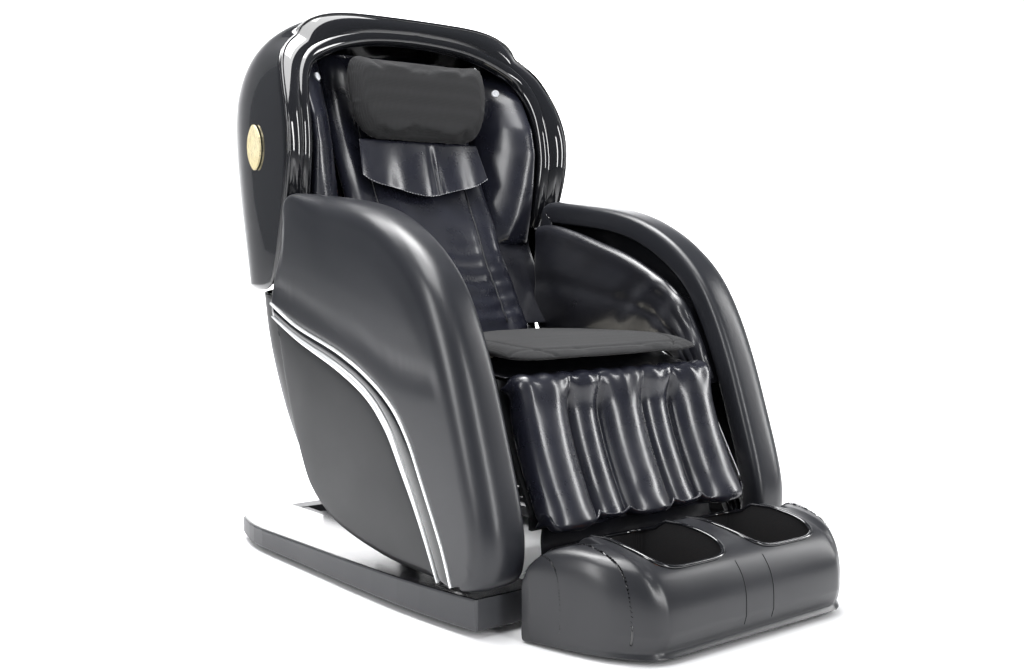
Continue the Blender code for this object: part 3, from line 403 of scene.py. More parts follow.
def grid_mesh(rows, wrap_rows=False, wrap_columns=False, caps=False):
    """Quads between rows of points, closed round either way, or capped at its first and last row."""
    wide = len(rows[0])
    points = [point for row in rows for point in row]
    faces = []
    for i in range(len(rows) if wrap_rows else len(rows) - 1):
        for j in range(wide if wrap_columns else wide - 1):
            a = i * wide + j
            b = i * wide + (j + 1) % wide
            c = (i + 1) % len(rows) * wide + (j + 1) % wide
            d = (i + 1) % len(rows) * wide + j
            faces.append((a, b, c, d))
    if caps:
        faces.append(tuple(reversed(range(wide))))
        faces.append(tuple(range((len(rows) - 1) * wide, len(rows) * wide)))
    return mesh_from(points, faces)


def subdivided(obj, levels):
    made = obj.modifiers.new("Subdivision", "SUBSURF")
    made.levels = levels
    made.render_levels = levels
    return obj


def thickened(obj, wall, offset=-1.0):
    made = obj.modifiers.new("Solidify", "SOLIDIFY")
    made.thickness = wall
    made.offset = offset
    made.use_even_offset = False
    return obj


def bevelled(obj, width, segments=3, angle=35):
    made = obj.modifiers.new("Bevel", "BEVEL")
    made.width = width
    made.segments = segments
    made.limit_method = "ANGLE"
    made.angle_limit = math.radians(angle)
    made.harden_normals = False
    return obj


def made_real(obj):
    """The object's modifiers made into its mesh."""
    bpy.context.view_layer.update()
    mesh = bpy.data.meshes.new_from_object(obj.evaluated_get(bpy.context.evaluated_depsgraph_get()))
    obj.modifiers.clear()
    obj.data = mesh
    return obj


def closed_piece(rows, name, look, body):
    return as_piece(grid_mesh(rows, wrap_columns=True, caps=True), name, look, body)


def refined(obj, levels):
    subdivided(obj, levels)
    made_real(obj)
    smoothed(obj.data)
    return obj


def prism_mesh(first, second):
    """A solid between two outlines with as many points each."""
    count = len(first)
    faces = [tuple(range(count)), tuple(range(2 * count - 1, count - 1, -1))]
    for i in range(count):
        j = (i + 1) % count
        faces.append((i, j, count + j, count + i))
    return mesh_from(first + second, faces)


def slab_mesh(outline, low, high, across="X"):
    """An outline given thickness along X or Z."""
    ends = []
    for height in (low, high):
        ends.append([(height, a, b) if across == "X" else (a, b, height) for a, b in outline])
    return prism_mesh(*ends)


def tube(name, line, radius, look, body, sides):
    """A tube along a line of points, capped at both ends."""
    spots = [Vector(point) for point in line]
    rows = []
    up = Vector((0, 0, 1))
    last = len(spots) - 1
    for i, spot in enumerate(spots):
        ahead = (spots[min(i + 1, last)] - spots[max(i - 1, 0)]).normalized()
        side = up.cross(ahead)
        if side.length < 0.05:
            side = Vector((1, 0, 0)).cross(ahead)
        side.normalize()
        up = ahead.cross(side).normalized()
        row = []
        for k in range(sides):
            turn = 2 * math.pi * k / sides
            row.append(spot + side * (radius * math.cos(turn)) + up * (radius * math.sin(turn)))
        rows.append(row)
    return closed_piece(rows, name, look, body)


def remeshed(obj, voxel, rounds=4):
    made = obj.modifiers.new("Remesh", "REMESH")
    made.mode = "VOXEL"
    made.voxel_size = voxel
    soft = obj.modifiers.new("Smooth", "SMOOTH")
    soft.factor = 0.5
    soft.iterations = rounds
    return made_real(obj)


def puffed(obj, cap, pressure=4.0, voxel=0.006, rounds=4, stiff=15.0):
    """Stuffed: remeshed, blown up by a short cloth simulation, held within cap of where it began."""
    remeshed(obj, voxel, rounds)
    mesh = obj.data
    start = [vertex.co.copy() for vertex in mesh.vertices]
    cloth = obj.modifiers.new("Cloth", "CLOTH")
    setting = cloth.settings
    setting.quality = 5
    setting.mass = 0.3
    setting.tension_stiffness = stiff
    setting.compression_stiffness = stiff
    setting.shear_stiffness = stiff / 3
    setting.bending_stiffness = 0.6
    setting.use_pressure = True
    setting.uniform_pressure_force = pressure
    setting.effector_weights.gravity = 0.0
    cloth.point_cache.frame_start = 1
    cloth.point_cache.frame_end = 20
    scene = bpy.context.scene
    for step in range(1, 21):
        scene.frame_set(step)
    blown = obj.evaluated_get(bpy.context.evaluated_depsgraph_get()).data
    ends = [vertex.co.copy() for vertex in blown.vertices]
    obj.modifiers.remove(cloth)
    scene.frame_set(1)
    for vertex, old, new in zip(mesh.vertices, start, ends):
        move = new - old
        if move.length > cap:
            move *= cap / move.length
        vertex.co = old + move
    mesh.update()
    return refined(obj, 1)


def pressed(obj, depth_at):
    """Each point moved against its normal by what depth_at says for its place."""
    mesh = obj.data
    normals = [vertex.normal.copy() for vertex in mesh.vertices]
    for vertex, normal in zip(mesh.vertices, normals):
        by = depth_at(vertex.co, normal)
        if by:
            vertex.co = vertex.co - normal * by
    mesh.update()
    return obj


def seam(distance, width, depth):
    return depth * math.exp(-(distance / width) ** 2) if abs(distance) < 3 * width else 0.0


def surface_of(obj):
    return BVHTree.FromPolygons([vertex.co for vertex in obj.data.vertices],
                                [tuple(face.vertices) for face in obj.data.polygons])


def laid(obj, points, direction, lift):
    """Points moved along a direction until they meet the piece, then lifted off it."""
    tree = surface_of(obj)
    aim = Vector(direction).normalized()
    found = []
    for point in points:
        spot = tree.ray_cast(Vector(point) - aim * 0.3, aim)[0]
        if spot is not None:
            found.append(tuple(spot - aim * lift))
    return found


def stitches(name, line, look, body, spacing=0.006, length=0.0042, radius=0.0006):
    """A row of short threads along a line."""
    spots = [Vector(point) for point in resampled(line, 400)]
    total = sum((b - a).length for a, b in zip(spots, spots[1:]))
    count = max(int(total / spacing), 2)
    even = [Vector(point) for point in resampled(line, count + 1)]
    work = bmesh.new()
    for a, b in zip(even, even[1:]):
        ahead = b - a
        if ahead.length < 1e-6:
            continue
        middle = (a + b) / 2
        turn = ahead.to_track_quat("Z", "Y").to_matrix().to_4x4()
        place = Matrix.Translation(middle) @ turn @ Matrix.Diagonal((radius, radius, length / 2, 1.0))
        bmesh.ops.create_icosphere(work, subdivisions=1, radius=1.0, matrix=place)
    mesh = bpy.data.meshes.new(name)
    work.to_mesh(mesh)
    work.free()
    return as_piece(mesh, name, look, body)


def both_sides(make):
    for side, sign in (("left", -1), ("right", 1)):
        make(side, sign)


def mirrored(obj, name, body):
    """A copy of the piece on the other side of the chair."""
    mesh = obj.data.copy()
    mesh.transform(Matrix.Scale(-1.0, 4, (1, 0, 0)))
    mesh.flip_normals()
    made = bpy.data.objects.new(name, mesh)
    bpy.context.scene.collection.objects.link(made)
    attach(made, body)
    return made


# ---- arms ---------------------------------------------------------------------------------------
CREASE = smooth_line(CREASE_LINE, 4)


def side_x(y, z):
    """How far out the side of the arm shell stands: a soft crown above the crease, hollow below it."""
    off = -signed_distance(CREASE, y, z)
    if off > 0:
        return ARM_OUTER_X + 0.0030 * ease(off / 0.10) - 0.0024 * math.exp(-(off / 0.010) ** 2)
    return ARM_OUTER_X - 0.0024 + 0.0024 * ease(-off / 0.05) ** 2


def arm_shell(side, sign):
    count = 130
    crown = resampled(smooth_line(CROWN_LINE, 8), count)
    trim = resampled(shifted(smooth_line(TRIM_UPPER_LINE, 12), -GAP), count)
    inward = lefts(crown)
    rows = []
    for i in range(count):
        share = i / (count - 1)
        top = Vector(crown[i])
        low = Vector(trim[i])
        into = inward[i]
        room = (top - low).length
        round_out = min(0.010 + 0.036 * ease((share - 0.15) / 0.12), 0.45 * room)
        round_in = min(0.016, 0.3 * room)
        row = []
        edge = top + into * round_out
        for k in range(13):
            at = low.lerp(edge, k / 13)
            blend = ease(k / 13 / 0.25) * ease((1 - k / 13) / 0.2)
            row.append((ARM_OUTER_X + (side_x(at.x, at.y) - ARM_OUTER_X) * blend, at.x, at.y))
        for k in range(8):
            turn = k / 7 * math.pi / 2
            at = top + into * (round_out * (1 - math.sin(turn)))
            row.append((ARM_OUTER_X - round_out * (1 - math.cos(turn)), at.x, at.y))
        for k in range(1, 4):
            across = k / 4
            x = (ARM_OUTER_X - round_out) * (1 - across) + (ARM_INNER_X + round_in) * across
            at = top + into * (0.0022 * across * across)
            row.append((x, at.x, at.y))
        for k in range(5):
            turn = k / 4 * math.pi / 2
            at = top + into * (0.0022 + round_in * (1 - math.cos(turn)))
            row.append((ARM_INNER_X + round_in * (1 - math.sin(turn)), at.x, at.y))
        at = top + into * min(0.055, 0.8 * room)
        row.append((ARM_INNER_X + 0.0004, at.x, at.y))
        rows.append([(sign * x, y, z) for x, y, z in row])
    made = as_piece(grid_mesh(rows), "arm_cover_" + side, "satin_shell", "chassis")
    outward(made, (sign, 0.0, 0.0))
    thickened(made, 0.004)
    subdivided(made, 1)
    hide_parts("arm_shell_" + side)


def outward(obj, aim):
    """Turns the faces so that most of the ones across aim look along it."""
    work = bmesh.new()
    work.from_mesh(obj.data)
    if sum(face.normal.dot(Vector(aim)) * face.calc_area() for face in work.faces) < 0:
        bmesh.ops.reverse_faces(work, faces=work.faces)
    work.to_mesh(obj.data)
    work.free()


def band_piece(name, first, second, reach, look, sign, node, round_off):
    """A strip between two lines on the side of the chair, with its outer edges rounded."""
    low, high = reach
    rows = []
    for a, b in zip(first, second):
        a = Vector(a)
        b = Vector(b)
        wide = (b - a).length
        r = min(round_off, 0.35 * wide)
        across = (b - a).normalized() if wide > 1e-6 else Vector((0.0, -1.0))
        row = [(low, a), (high - r, a), (high - r * 0.3, a + across * (r * 0.3)), (high, a + across * r)]
        row += [(high + min(0.0008, 0.04 * wide), a.lerp(b, 0.5))]
        row += [(high, b - across * r), (high - r * 0.3, b - across * (r * 0.3)), (high - r, b), (low, b)]
        rows.append([(sign * x, at.x, at.y) for x, at in row])
    made = closed_piece(rows, name, look, "chassis")
    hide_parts(node)


def taper(share):
    return 0.003 + (TRIM_LOWER_WIDTH - 0.003) * math.sin(math.pi * min(max(share, 0.0), 1.0)) ** 0.8


def side_trims(side, sign):
    count = 90
    upper = resampled(smooth_line(TRIM_UPPER_LINE, 12), count)
    lower = resampled(smooth_line(TRIM_LOWER_LINE, 12), count)
    # Both trim lines use the pale, part-metal trim look, whose whiteness is partly a painted reflection.
    band_piece("trim_line_" + side, upper, shifted(upper, TRIM_UPPER_WIDTH), (0.372, 0.3996),
               "silver_trim", sign, "trim_upper_" + side, 0.0012)
    band_piece("gloss_band_" + side, shifted(upper, TRIM_UPPER_WIDTH + GAP), shifted(lower, -GAP),
               (0.360, 0.3945), "gloss_black", sign, "band_" + side, 0.002)
    band_piece("trim_crescent_" + side, lower, shifted(lower, taper), (0.368, 0.3975),
               "silver_trim", sign, "trim_lower_" + side, 0.003)


def lower_panel(side, sign):
    count = 90
    lower = smooth_line(TRIM_LOWER_LINE, 12)
    top = resampled(shifted(lower, lambda share: taper(share) + GAP), count)
    rim = resampled(list(reversed(smooth_line(BOTTOM_LINE, 10))), count)
    into = lefts(rim)
    rows = []
    out = ARM_OUTER_X - 0.008
    for i in range(count):
        a = Vector(top[i])
        b = Vector(rim[i])
        room = (b - a).length
        inner = -into[i] if (a - b).dot(into[i]) < 0 else into[i]
        chamfer = min(0.014, 0.4 * room)
        edge = b + inner * chamfer
        row = [(out - 0.006, a), (out - 0.001, a)]
        for k in range(1, 12):
            share = k / 12
            lift = 0.0024 * math.sin(math.pi * share) * min(room / 0.2, 1.0)
            row.append((out + lift, a.lerp(edge, share)))
        row.append((out - 0.0002, edge))
        row.append((out - 0.0010, edge.lerp(b, 0.12)))
        row.append((out - 0.0075, edge.lerp(b, 0.88)))
        row.append((out - 0.0100, b))
        row.append((out - 0.030, b + inner * 0.001))
        rows.append([(sign * x, at.x, at.y) for x, at in row])
    made = as_piece(grid_mesh(rows), "side_panel_" + side, "panel_grey", "chassis")
    outward(made, (sign, 0.0, 0.0))
    thickened(made, 0.003)
    subdivided(made, 1)
    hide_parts("lower_panel_" + side)


def arm_pad(side, sign):
    """The padded armrest: a raised lip inside, a forearm channel, and a side that hangs to the seat."""
    count = 70
    top = resampled(smooth_line(BOLSTER_TOP, 8), count)
    into = lefts(top)
    rows = []
    for i, (at, down) in enumerate(zip(top, into)):
        share = i / (count - 1)
        at = Vector(at)
        channel = 0.046 * ease((share - 0.05) / 0.12) * ease((0.78 - share) / 0.20)
        foot_z = 0.470 - 0.085 * ease((share - 0.55) / 0.35)
        low = Vector((at.x + 0.020 * share - 0.012, min(foot_z, at.y - 0.022)))
        ring = []
        start = at + down * 0.020
        for k in range(10):
            t = k / 10
            spot = low.lerp(start, t)
            swell = 0.010 * math.sin(math.pi * t ** 0.8)
            fold = 0.0050 * math.exp(-((t - 0.50) / 0.05) ** 2)
            ring.append((0.270 - swell + fold, spot))
        for k in range(9):
            turn = k / 8 * math.pi
            spot = at + down * (0.020 * (1 - math.sin(turn)))
            ring.append((0.2835 - 0.0165 * math.cos(turn), spot))
        for k in range(1, 7):
            t = k / 6
            depth = 0.020 + channel * math.sin(math.pi * min(t * 0.70 + 0.10, 0.93))
            depth -= 0.006 * ease((t - 0.7) / 0.3)
            ring.append((0.300 + 0.068 * t, at + down * depth))
        ring.append((0.368, at + down * 0.070))
        ring.append((0.300, at + down * 0.074))
        ring.append((0.2795, low.lerp(start, 0.4)))
        ring.append((0.2795, low))
        rows.append([(sign * x, spot.x, spot.y) for x, spot in ring])
    made = closed_piece(rows, "arm_pad_" + side, "black_leather", "chassis")
    refined(made, 2)

    def pleats(spot, normal):
        if abs(spot.x) > 0.282 or spot.y > 0.02:
            return 0.0
        near = ease((0.02 - spot.y) / 0.14) * ease((0.62 - spot.z) / 0.05)
        return near * 0.0030 * math.sin((spot.y * 0.9 + spot.z * 0.7) * 62.0)

    pressed(made, pleats)
    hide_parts("arm_bolster_" + side)
    return made


# ---- seat ---------------------------------------------------------------------------------------
SEAT_BORDER_Y = -0.150


def seat():
    outline = [(-0.182, 0.357), (-0.184, 0.400), (-0.178, 0.438), (-0.160, 0.450), (-0.100, 0.457),
               (0.000, 0.466), (0.080, 0.474), (0.108, 0.470), (0.116, 0.455), (0.102, 0.400), (0.092, 0.357)]
    made = as_piece(slab_mesh(smooth_line(outline, 2), -0.250, 0.250), "seat_pad", "beige_fabric", "chassis")
    puffed(made, 0.008, 3.0, 0.007, 8)
    clipped(made, (-0.258, -0.193, 0.3552), (0.258, 0.120, 0.484))
    made.data.materials.append(LOOKS["black_leather"])
    for face in made.data.polygons:
        if face.center.y < SEAT_BORDER_Y:
            face.material_index = 1
    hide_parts("seat_cushion")


FLAP_PLAN = [(0.0, 0.012), (0.090, 0.000), (0.160, -0.045), (0.215, -0.120), (0.246, -0.215),
             (0.248, -0.275), (0.236, -0.318), (0.180, -0.336), (0.090, -0.342), (0.0, -0.343)]


def flap():
    right = smooth_line(FLAP_PLAN, 3)
    plan = right + [(-x, y) for x, y in reversed(right[1:-1])]
    made = as_piece(slab_mesh(plan, 0.4695, 0.4855, "Z"), "seat_cover_flap", "charcoal_fabric", "chassis")
    puffed(made, 0.006, 3.0, 0.006, 6)
    sew_left = smooth_line([(-0.170, -0.060), (-0.205, -0.160), (-0.200, -0.270), (-0.150, -0.335)], 6)
    sew_right = [(-x, y) for x, y in sew_left]

    def seams(spot, normal):
        if normal.z < 0.2:
            return 0.0
        depth = seam(signed_distance(sew_left, spot.x, spot.y), 0.004, 0.0035)
        depth += seam(signed_distance(sew_right, spot.x, spot.y), 0.004, 0.0035)
        depth += seam(spot.y + 0.318 - 0.35 * spot.x * spot.x, 0.004, 0.0025)
        return depth

    pressed(made, seams)
    clipped(made, (-0.256, -0.350, 0.4655), (0.256, 0.022, 0.4985))
    for vertex in made.data.vertices:
        front = ease((-0.20 - vertex.co.y) / 0.15)
        vertex.co.z += 0.006 * (1 - (vertex.co.x / 0.25) ** 2) * (1 - front) - 0.010 * front
        if vertex.co.z < 0.470:
            vertex.co.z = 0.470 - 0.5 * (0.470 - vertex.co.z)
    made.data.update()
    for name, line in (("left", sew_left), ("right", sew_right)):
        on = laid(made, [(x, y, 0.5) for x, y in line], (0, 0, -1), 0.0003)
        stitches("flap_stitch_" + name, on, "liner_fabric", "chassis")
    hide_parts("seat_flap")


def clipped(obj, low, high):
    """No point of the piece passes a box."""
    for vertex in obj.data.vertices:
        vertex.co = [min(max(vertex.co[i], low[i]), high[i]) for i in range(3)]
    obj.data.update()


# ---- backrest -----------------------------------------------------------------------------------
def shell_half(row):
    """The right half of one level of a shell, from its middle at the rear to its front edge."""
    y_rear, z_rear, x_edge, y_edge, z_edge = row
    half = []
    for k in range(SHELL_COLUMNS + 1):
        turn = k / SHELL_COLUMNS * math.pi / 2
        out = math.sin(turn) ** SHELL_BEND
        back = math.cos(turn) ** SHELL_BEND if k < SHELL_COLUMNS else 0.0
        rise = math.cos(turn) ** ROOF_BEND if k < SHELL_COLUMNS else 0.0
        half.append((x_edge * out, y_edge + (y_rear - y_edge) * back, z_edge + (z_rear - z_edge) * rise))
    return half


def shell_from_rows(name, rows, look, body, node):
    whole = []
    for row in rows:
        whole.append(out_and_back(shell_half(row)[::-1])[::-1])
    made = as_piece(grid_mesh(whole), name, look, body)
    outward(made, (0.0, 1.0, 0.0))
    subdivided(made, 3)
    thickened(made, SHELL_WALL)
    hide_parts(node)
    return made


def shell_edge():
    """The front edge of the back shell, from its foot up its right side and over to the middle."""
    side = spline_limit([(row[2], row[3], row[4]) for row in BACK_SHELL_ROWS], 6)
    over = spline_limit(out_and_back(shell_half(BACK_SHELL_ROWS[-1])[::-1]), 6)
    return side, over[:len(over) // 2 + 1]


def back_shells():
    shell_from_rows("back_cover", BACK_SHELL_ROWS, "gloss_black", "backrest", "back_shell")
    shell_from_rows("rear_skirt", REAR_COVER_ROWS, "dark_shell", "chassis", "rear_cover")
    side, over = shell_edge()
    edge = resampled(side + over[1:], 90)
    lip = [(x * 0.994, y - 0.0006, z - 0.002) for x, y, z in out_and_back(edge)]
    tube("shell_lip", lip, 0.0045, "gloss_black", "backrest", 10)
    inner = resampled(smooth_line(HOOD_RIM_FOOT + HOOD_RIM, 8), 90)
    outer = resampled([point for point in edge if point[2] > inner[0][2] - 0.03], 90)
    rows = []
    for a, b in zip(outer, inner):
        a = Vector(a)
        b = Vector(b)
        row = []
        for k in range(9):
            t = k / 8
            spot = a.lerp(b, t)
            spot.y -= 0.012 * math.sin(math.pi * t) + 0.010 * t
            row.append(tuple(spot))
        rows.append(row)
    rows += [[(-x, y, z) for x, y, z in row] for row in reversed(rows[:-1])]
    made = as_piece(grid_mesh(rows), "hood_fascia", "gloss_black", "backrest")
    outward(made, (0.0, -1.0, 0.0))
    thickened(made, 0.003)
    subdivided(made, 1)


def rim():
    line = resampled(smooth_line(out_and_back(HOOD_RIM_FOOT + HOOD_RIM), 8), 150)
    made = tube("hood_edge", line, HOOD_RIM_RADIUS, "gloss_black", "backrest", 20)
    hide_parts("hood_rim")


def back_cushion():
    count = 46
    front = resampled(smooth_line(BACK_PAD_FRONT, 8), count)
    into = [-left for left in lefts(front)]
    half = BACK_PAD_HALF
    columns = 34
    rows = []
    for i in range(count):
        share = i / (count - 1)
        at = Vector(front[i])
        back = into[i]
        end = min(ease(share / 0.05), ease((1 - share) / 0.05))
        ring = []
        for j in range(columns + 1):
            x = half * (2 * j / columns - 1)
            side = abs(x) / half
            depth = 0.003 + 0.020 * max(0.0, (side - 0.86) / 0.14) ** 2.2 + 0.014 * (1 - end)
            depth += 0.0045 * math.exp(-((abs(x) - 0.128) / 0.006) ** 2)
            depth -= 0.004 * math.exp(-((abs(x) - 0.165) / 0.022) ** 2)
            depth += 0.003 * math.exp(-(x / 0.09) ** 2)
            spot = at + back * depth
            ring.append((x, spot.x, spot.y))
        for j in range(9):
            x = half * (1 - 2 * j / 8)
            spot = at + back * (BACK_PAD_THICK - 0.004)
            ring.append((x * 0.985, spot.x, spot.y))
        rows.append(ring)
    made = closed_piece(rows, "back_cushion", "navy_leather", "backrest")
    refined(made, 1)

    def wrinkles(spot, normal):
        if normal.y > -0.1:
            return 0.0
        low = ease((0.72 - spot.z) / 0.16)
        wave = math.sin(spot.z * 190.0 + 2.2 * math.sin(spot.x * 21.0) + spot.x * 9.0)
        return low * 0.0018 * wave * ease((0.196 - abs(spot.x)) / 0.03) + 0.0009 * math.sin(
            spot.z * 47.0 + 3.0 * math.sin(spot.x * 13.0))

    pressed(made, wrinkles)
    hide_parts("back_pad")
    for name, x in (("left", -0.128), ("right", 0.128)):
        line = [(x, y, z) for y, z in front[2:-2]]
        on = laid(made, line, (0.0, 0.9, -0.44), 0.0008)
        if len(on) > 4:
            tube("back_piping_" + name, on, 0.0022, "black_leather", "backrest", 8)


WING_FRONT = [(0.664, 0.350), (0.680, 0.328), (0.740, 0.312), (0.820, 0.298), (0.900, 0.292), (0.960, 0.305),
              (1.030, 0.345), (1.086, 0.395), (1.112, 0.440)]
WING_REAR = [(0.664, 0.350), (0.720, 0.382), (0.820, 0.430), (0.920, 0.472), (1.020, 0.500), (1.09, 0.498)]


def wing(side, sign):
    """The inner cheek of the hood: one smooth leather face from the rim to the back cushion."""
    rows = []
    count = 46
    for i in range(count):
        share = i / (count - 1)
        z = 0.662 + 0.450 * share
        end = min(ease(share / 0.10), ease((1 - share) / 0.08))
        front = interp(WING_FRONT, z) + 0.004
        rear = interp(WING_REAR, z) - 0.003
        deep = max(rear - front, 0.020)
        inner_y = front + 0.66 * deep
        ring = []
        for k in range(13):
            t = k / 12
            x = 0.303 - 0.097 * t
            bow = 0.020 * math.sin(math.pi * t) * end
            y = front + (inner_y - front) * t ** 1.15 - bow
            ring.append((x, max(y, front - 0.002), z))
        ring += [(0.2060, inner_y + 0.35 * (rear - inner_y), z), (0.2065, rear, z), (0.250, rear + 0.002, z),
                 (0.296, rear, z), (0.3045, rear - 0.3 * deep, z), (0.3060, front + 0.3 * deep, z),
                 (0.3055, front + 0.06 * deep, z)]
        rows.append([(sign * x, y, z) for x, y, z in ring])
    made = closed_piece(rows, "wing_cushion_" + side, "navy_leather", "backrest")
    refined(made, 1)
    return made


BUTTON_PROFILE = [(0.0004, 0.0032), (0.0045, 0.0034), (0.0052, 0.0026), (0.0058, 0.0034), (0.0080, 0.0040),
                  (0.0095, 0.0026), (0.0098, -0.0030)]


def wings():
    right = wing("right", 1)
    left = mirrored(right, "wing_cushion_left", "backrest")
    for side, made in (("right", right), ("left", left)):
        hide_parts("wing_pad_" + side)
    for side, sign in (("left", -1), ("right", 1)):
        centre = Vector((sign * 0.236, 0.372, 1.060))
        aim = Vector((-sign * 0.55, -0.78, 0.30)).normalized()
        hits = laid(right if sign > 0 else left, [centre], -aim, 0.0)
        spot = Vector(hits[0]) if hits else centre
        place = Matrix.Translation(spot) @ aim.to_track_quat("Z", "Y").to_matrix().to_4x4()
        turns = [2 * math.pi * k / 24 for k in range(24)]
        rows = []
        for r, h in BUTTON_PROFILE:
            rows.append([place @ Vector((r * math.cos(turn), r * math.sin(turn), h)) for turn in turns])
        lamp = closed_piece(rows, "speaker_button_" + side, "white_lamp", "backrest")


def liner():
    """The lining of the hood behind the side cushions, and below them beside the back cushion."""
    for side, sign in (("left", -1), ("right", 1)):
        rows = []
        for i in range(40):
            z = 0.490 + 0.616 * i / 39
            up = ease((z - 0.640) / 0.090)
            low = 1 - up
            pad = interp([(height, y) for y, height in BACK_PAD_FRONT], z)
            rim_y = interp([(height, y) for x, y, height in HOOD_RIM_FOOT + HOOD_RIM], max(z, 0.722)) + 0.014
            edge_y = (pad + 0.036) * low + rim_y * up
            edge_x = 0.2965 * low + 0.326 * up
            rear = (pad + 0.040) * low + (interp(WING_REAR, z) + 0.010) * up
            row = [(edge_x, edge_y), (edge_x - 0.002 * up, edge_y + 0.035 * up),
                   (0.294 * low + 0.3125 * up, rear - 0.012 * up), (0.270 * low + 0.290 * up, rear),
                   (0.250, rear + 0.002), (0.204, rear), (0.190, max(rear, pad + 0.043))]
            rows.append([(sign * x, y, z) for x, y in row])
        made = as_piece(grid_mesh(rows), "hood_lining_" + side, "black_leather", "backrest")
        outward(made, (-sign, -1.0, 0.0))
        thickened(made, 0.0022)
        subdivided(made, 2)


def interp(pairs, value):
    """A value read between sorted pairs."""
    pairs = sorted(pairs)
    if value <= pairs[0][0]:
        return pairs[0][1]
    for (a, x), (b, y) in zip(pairs, pairs[1:]):
        if value <= b:
            return x + (y - x) * (value - a) / max(b - a, 1e-9)
    return pairs[-1][1]


# ---- head pillow --------------------------------------------------------------------------------
SLOPE = Vector((0.020, 0.225)).normalized()
PILLOW_OUT = Vector((-SLOPE.y, SLOPE.x))
PILLOW_FOOT = Vector((0.370, 0.908))
PILLOW_BACK = 0.0045
PILLOW_FRONT = 0.049


def pillow_at(along, off):
    spot = PILLOW_FOOT + SLOPE * along + PILLOW_OUT * off
    return (spot.x, spot.y)


PILLOW_PLAN = [(0.0, -0.003), (0.080, -0.002), (0.138, 0.006), (0.172, 0.030), (0.190, 0.075),
               (0.196, 0.120), (0.196, 0.160), (0.186, 0.188), (0.160, 0.198), (0.080, 0.201), (0.0, 0.202)]


def head_cushion():
    right = smooth_line(PILLOW_PLAN, 3)
    plan = right + [(-x, a) for x, a in reversed(right[1:-1])]
    faces = [[(x, *pillow_at(along, off)) for x, along in plan] for off in (0.008, 0.036)]
    made = as_piece(prism_mesh(*faces), "pillow_cushion", "charcoal_fabric", "head_pillow")
    puffed(made, 0.012, 4.0, 0.006, 8)
    for vertex in made.data.vertices:
        across = Vector((vertex.co.y, vertex.co.z)) - PILLOW_FOOT
        off = across.dot(PILLOW_OUT)
        if not PILLOW_BACK <= off <= PILLOW_FRONT:
            held = min(max(off, PILLOW_BACK), PILLOW_FRONT)
            vertex.co.y, vertex.co.z = pillow_at(across.dot(SLOPE), held)
    made.data.update()
    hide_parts("head_pillow")
    aim = (0.0, -PILLOW_OUT.x, -PILLOW_OUT.y)
    ring = []
    for x, along in resampled(plan + plan[:1], 150):
        if along < 0.06:
            continue
        ring.append((x * 0.965, *pillow_at(0.100 + (along - 0.100) * 0.965, 0.10)))
    right_part = [point for point in ring if point[0] >= 0]
    left_part = [point for point in ring if point[0] < 0]
    on = laid(made, right_part + left_part, aim, 0.0002)
    tube("pillow_piping", on, 0.0011, "pale_cord", "head_pillow", 8)


def skirt():
    """The leather skirt that hangs from the pillow: gathered at the top, scalloped at its hem."""
    rows = []
    for i in range(15):
        t = i / 14
        row = []
        for j in range(81):
            s = 2 * j / 80 - 1
            x = 0.164 * s * (1.0 + 0.06 * t)
            hem = 0.128 - 0.046 * abs(s) ** 2.4 + 0.004 * math.cos(s * math.pi * 2.2)
            along = 0.008 - hem * t
            swing = 0.016 + 0.026 * t
            pleat = 0.0030 * t ** 0.8 * math.cos(s * 10.5 + 0.6)
            pleat += 0.0080 * t * math.exp(-((s - 0.14) / 0.045) ** 2)
            pleat -= 0.0060 * t * math.exp(-((s - 0.24) / 0.045) ** 2)
            row.append((x, *pillow_at(along, swing + pleat)))
        rows.append(row)
    made = as_piece(grid_mesh(rows), "pillow_valance", "navy_leather", "head_pillow")
    outward(made, (0.0, -1.0, 0.0))
    thickened(made, 0.0014)
    subdivided(made, 1)
    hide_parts("pillow_skirt")
    hem = [Vector(point) + Vector((0.0, -0.0012, 0.0014)) for point in rows[-1]]
    stitches("valance_stitch", hem, "pale_cord", "head_pillow", 0.007, 0.0045, 0.0005)


# ---- leg rest -----------------------------------------------------------------------------------
CALF_PATH = [(-0.289, 0.424), (-0.301, 0.4345), (-0.322, 0.4395), (-0.344, 0.436), (-0.359, 0.418),
             (-0.371, 0.375), (-0.392, 0.315), (-0.424, 0.248), (-0.452, 0.198), (-0.454, 0.180),
             (-0.440, 0.1695), (-0.410, 0.167)]
CALF_REAR = [(-0.283, 0.412), (-0.283, 0.410), (-0.284, 0.408), (-0.285, 0.405), (-0.287, 0.400),
             (-0.301, 0.370), (-0.322, 0.312), (-0.355, 0.246), (-0.380, 0.198), (-0.384, 0.184),
             (-0.387, 0.174), (-0.389, 0.169)]

CALF_ROWS = 60
CALF_HALF = 0.2525


def calf_depth(x):
    """How deep the upholstery lies across the leg rest: side pads, a divider and a roll in each channel."""
    far = abs(x)
    pad = max(0.0, 1 - ((far - 0.196) / 0.062) ** 2)
    roll = max(0.0, 1 - ((far - 0.094) / 0.036) ** 2)
    middle = max(0.0, 1 - (far / 0.056) ** 2)
    height = max(0.042 * math.sqrt(pad), 0.020 * math.sqrt(roll), 0.036 * math.sqrt(middle))
    return 0.043 - height


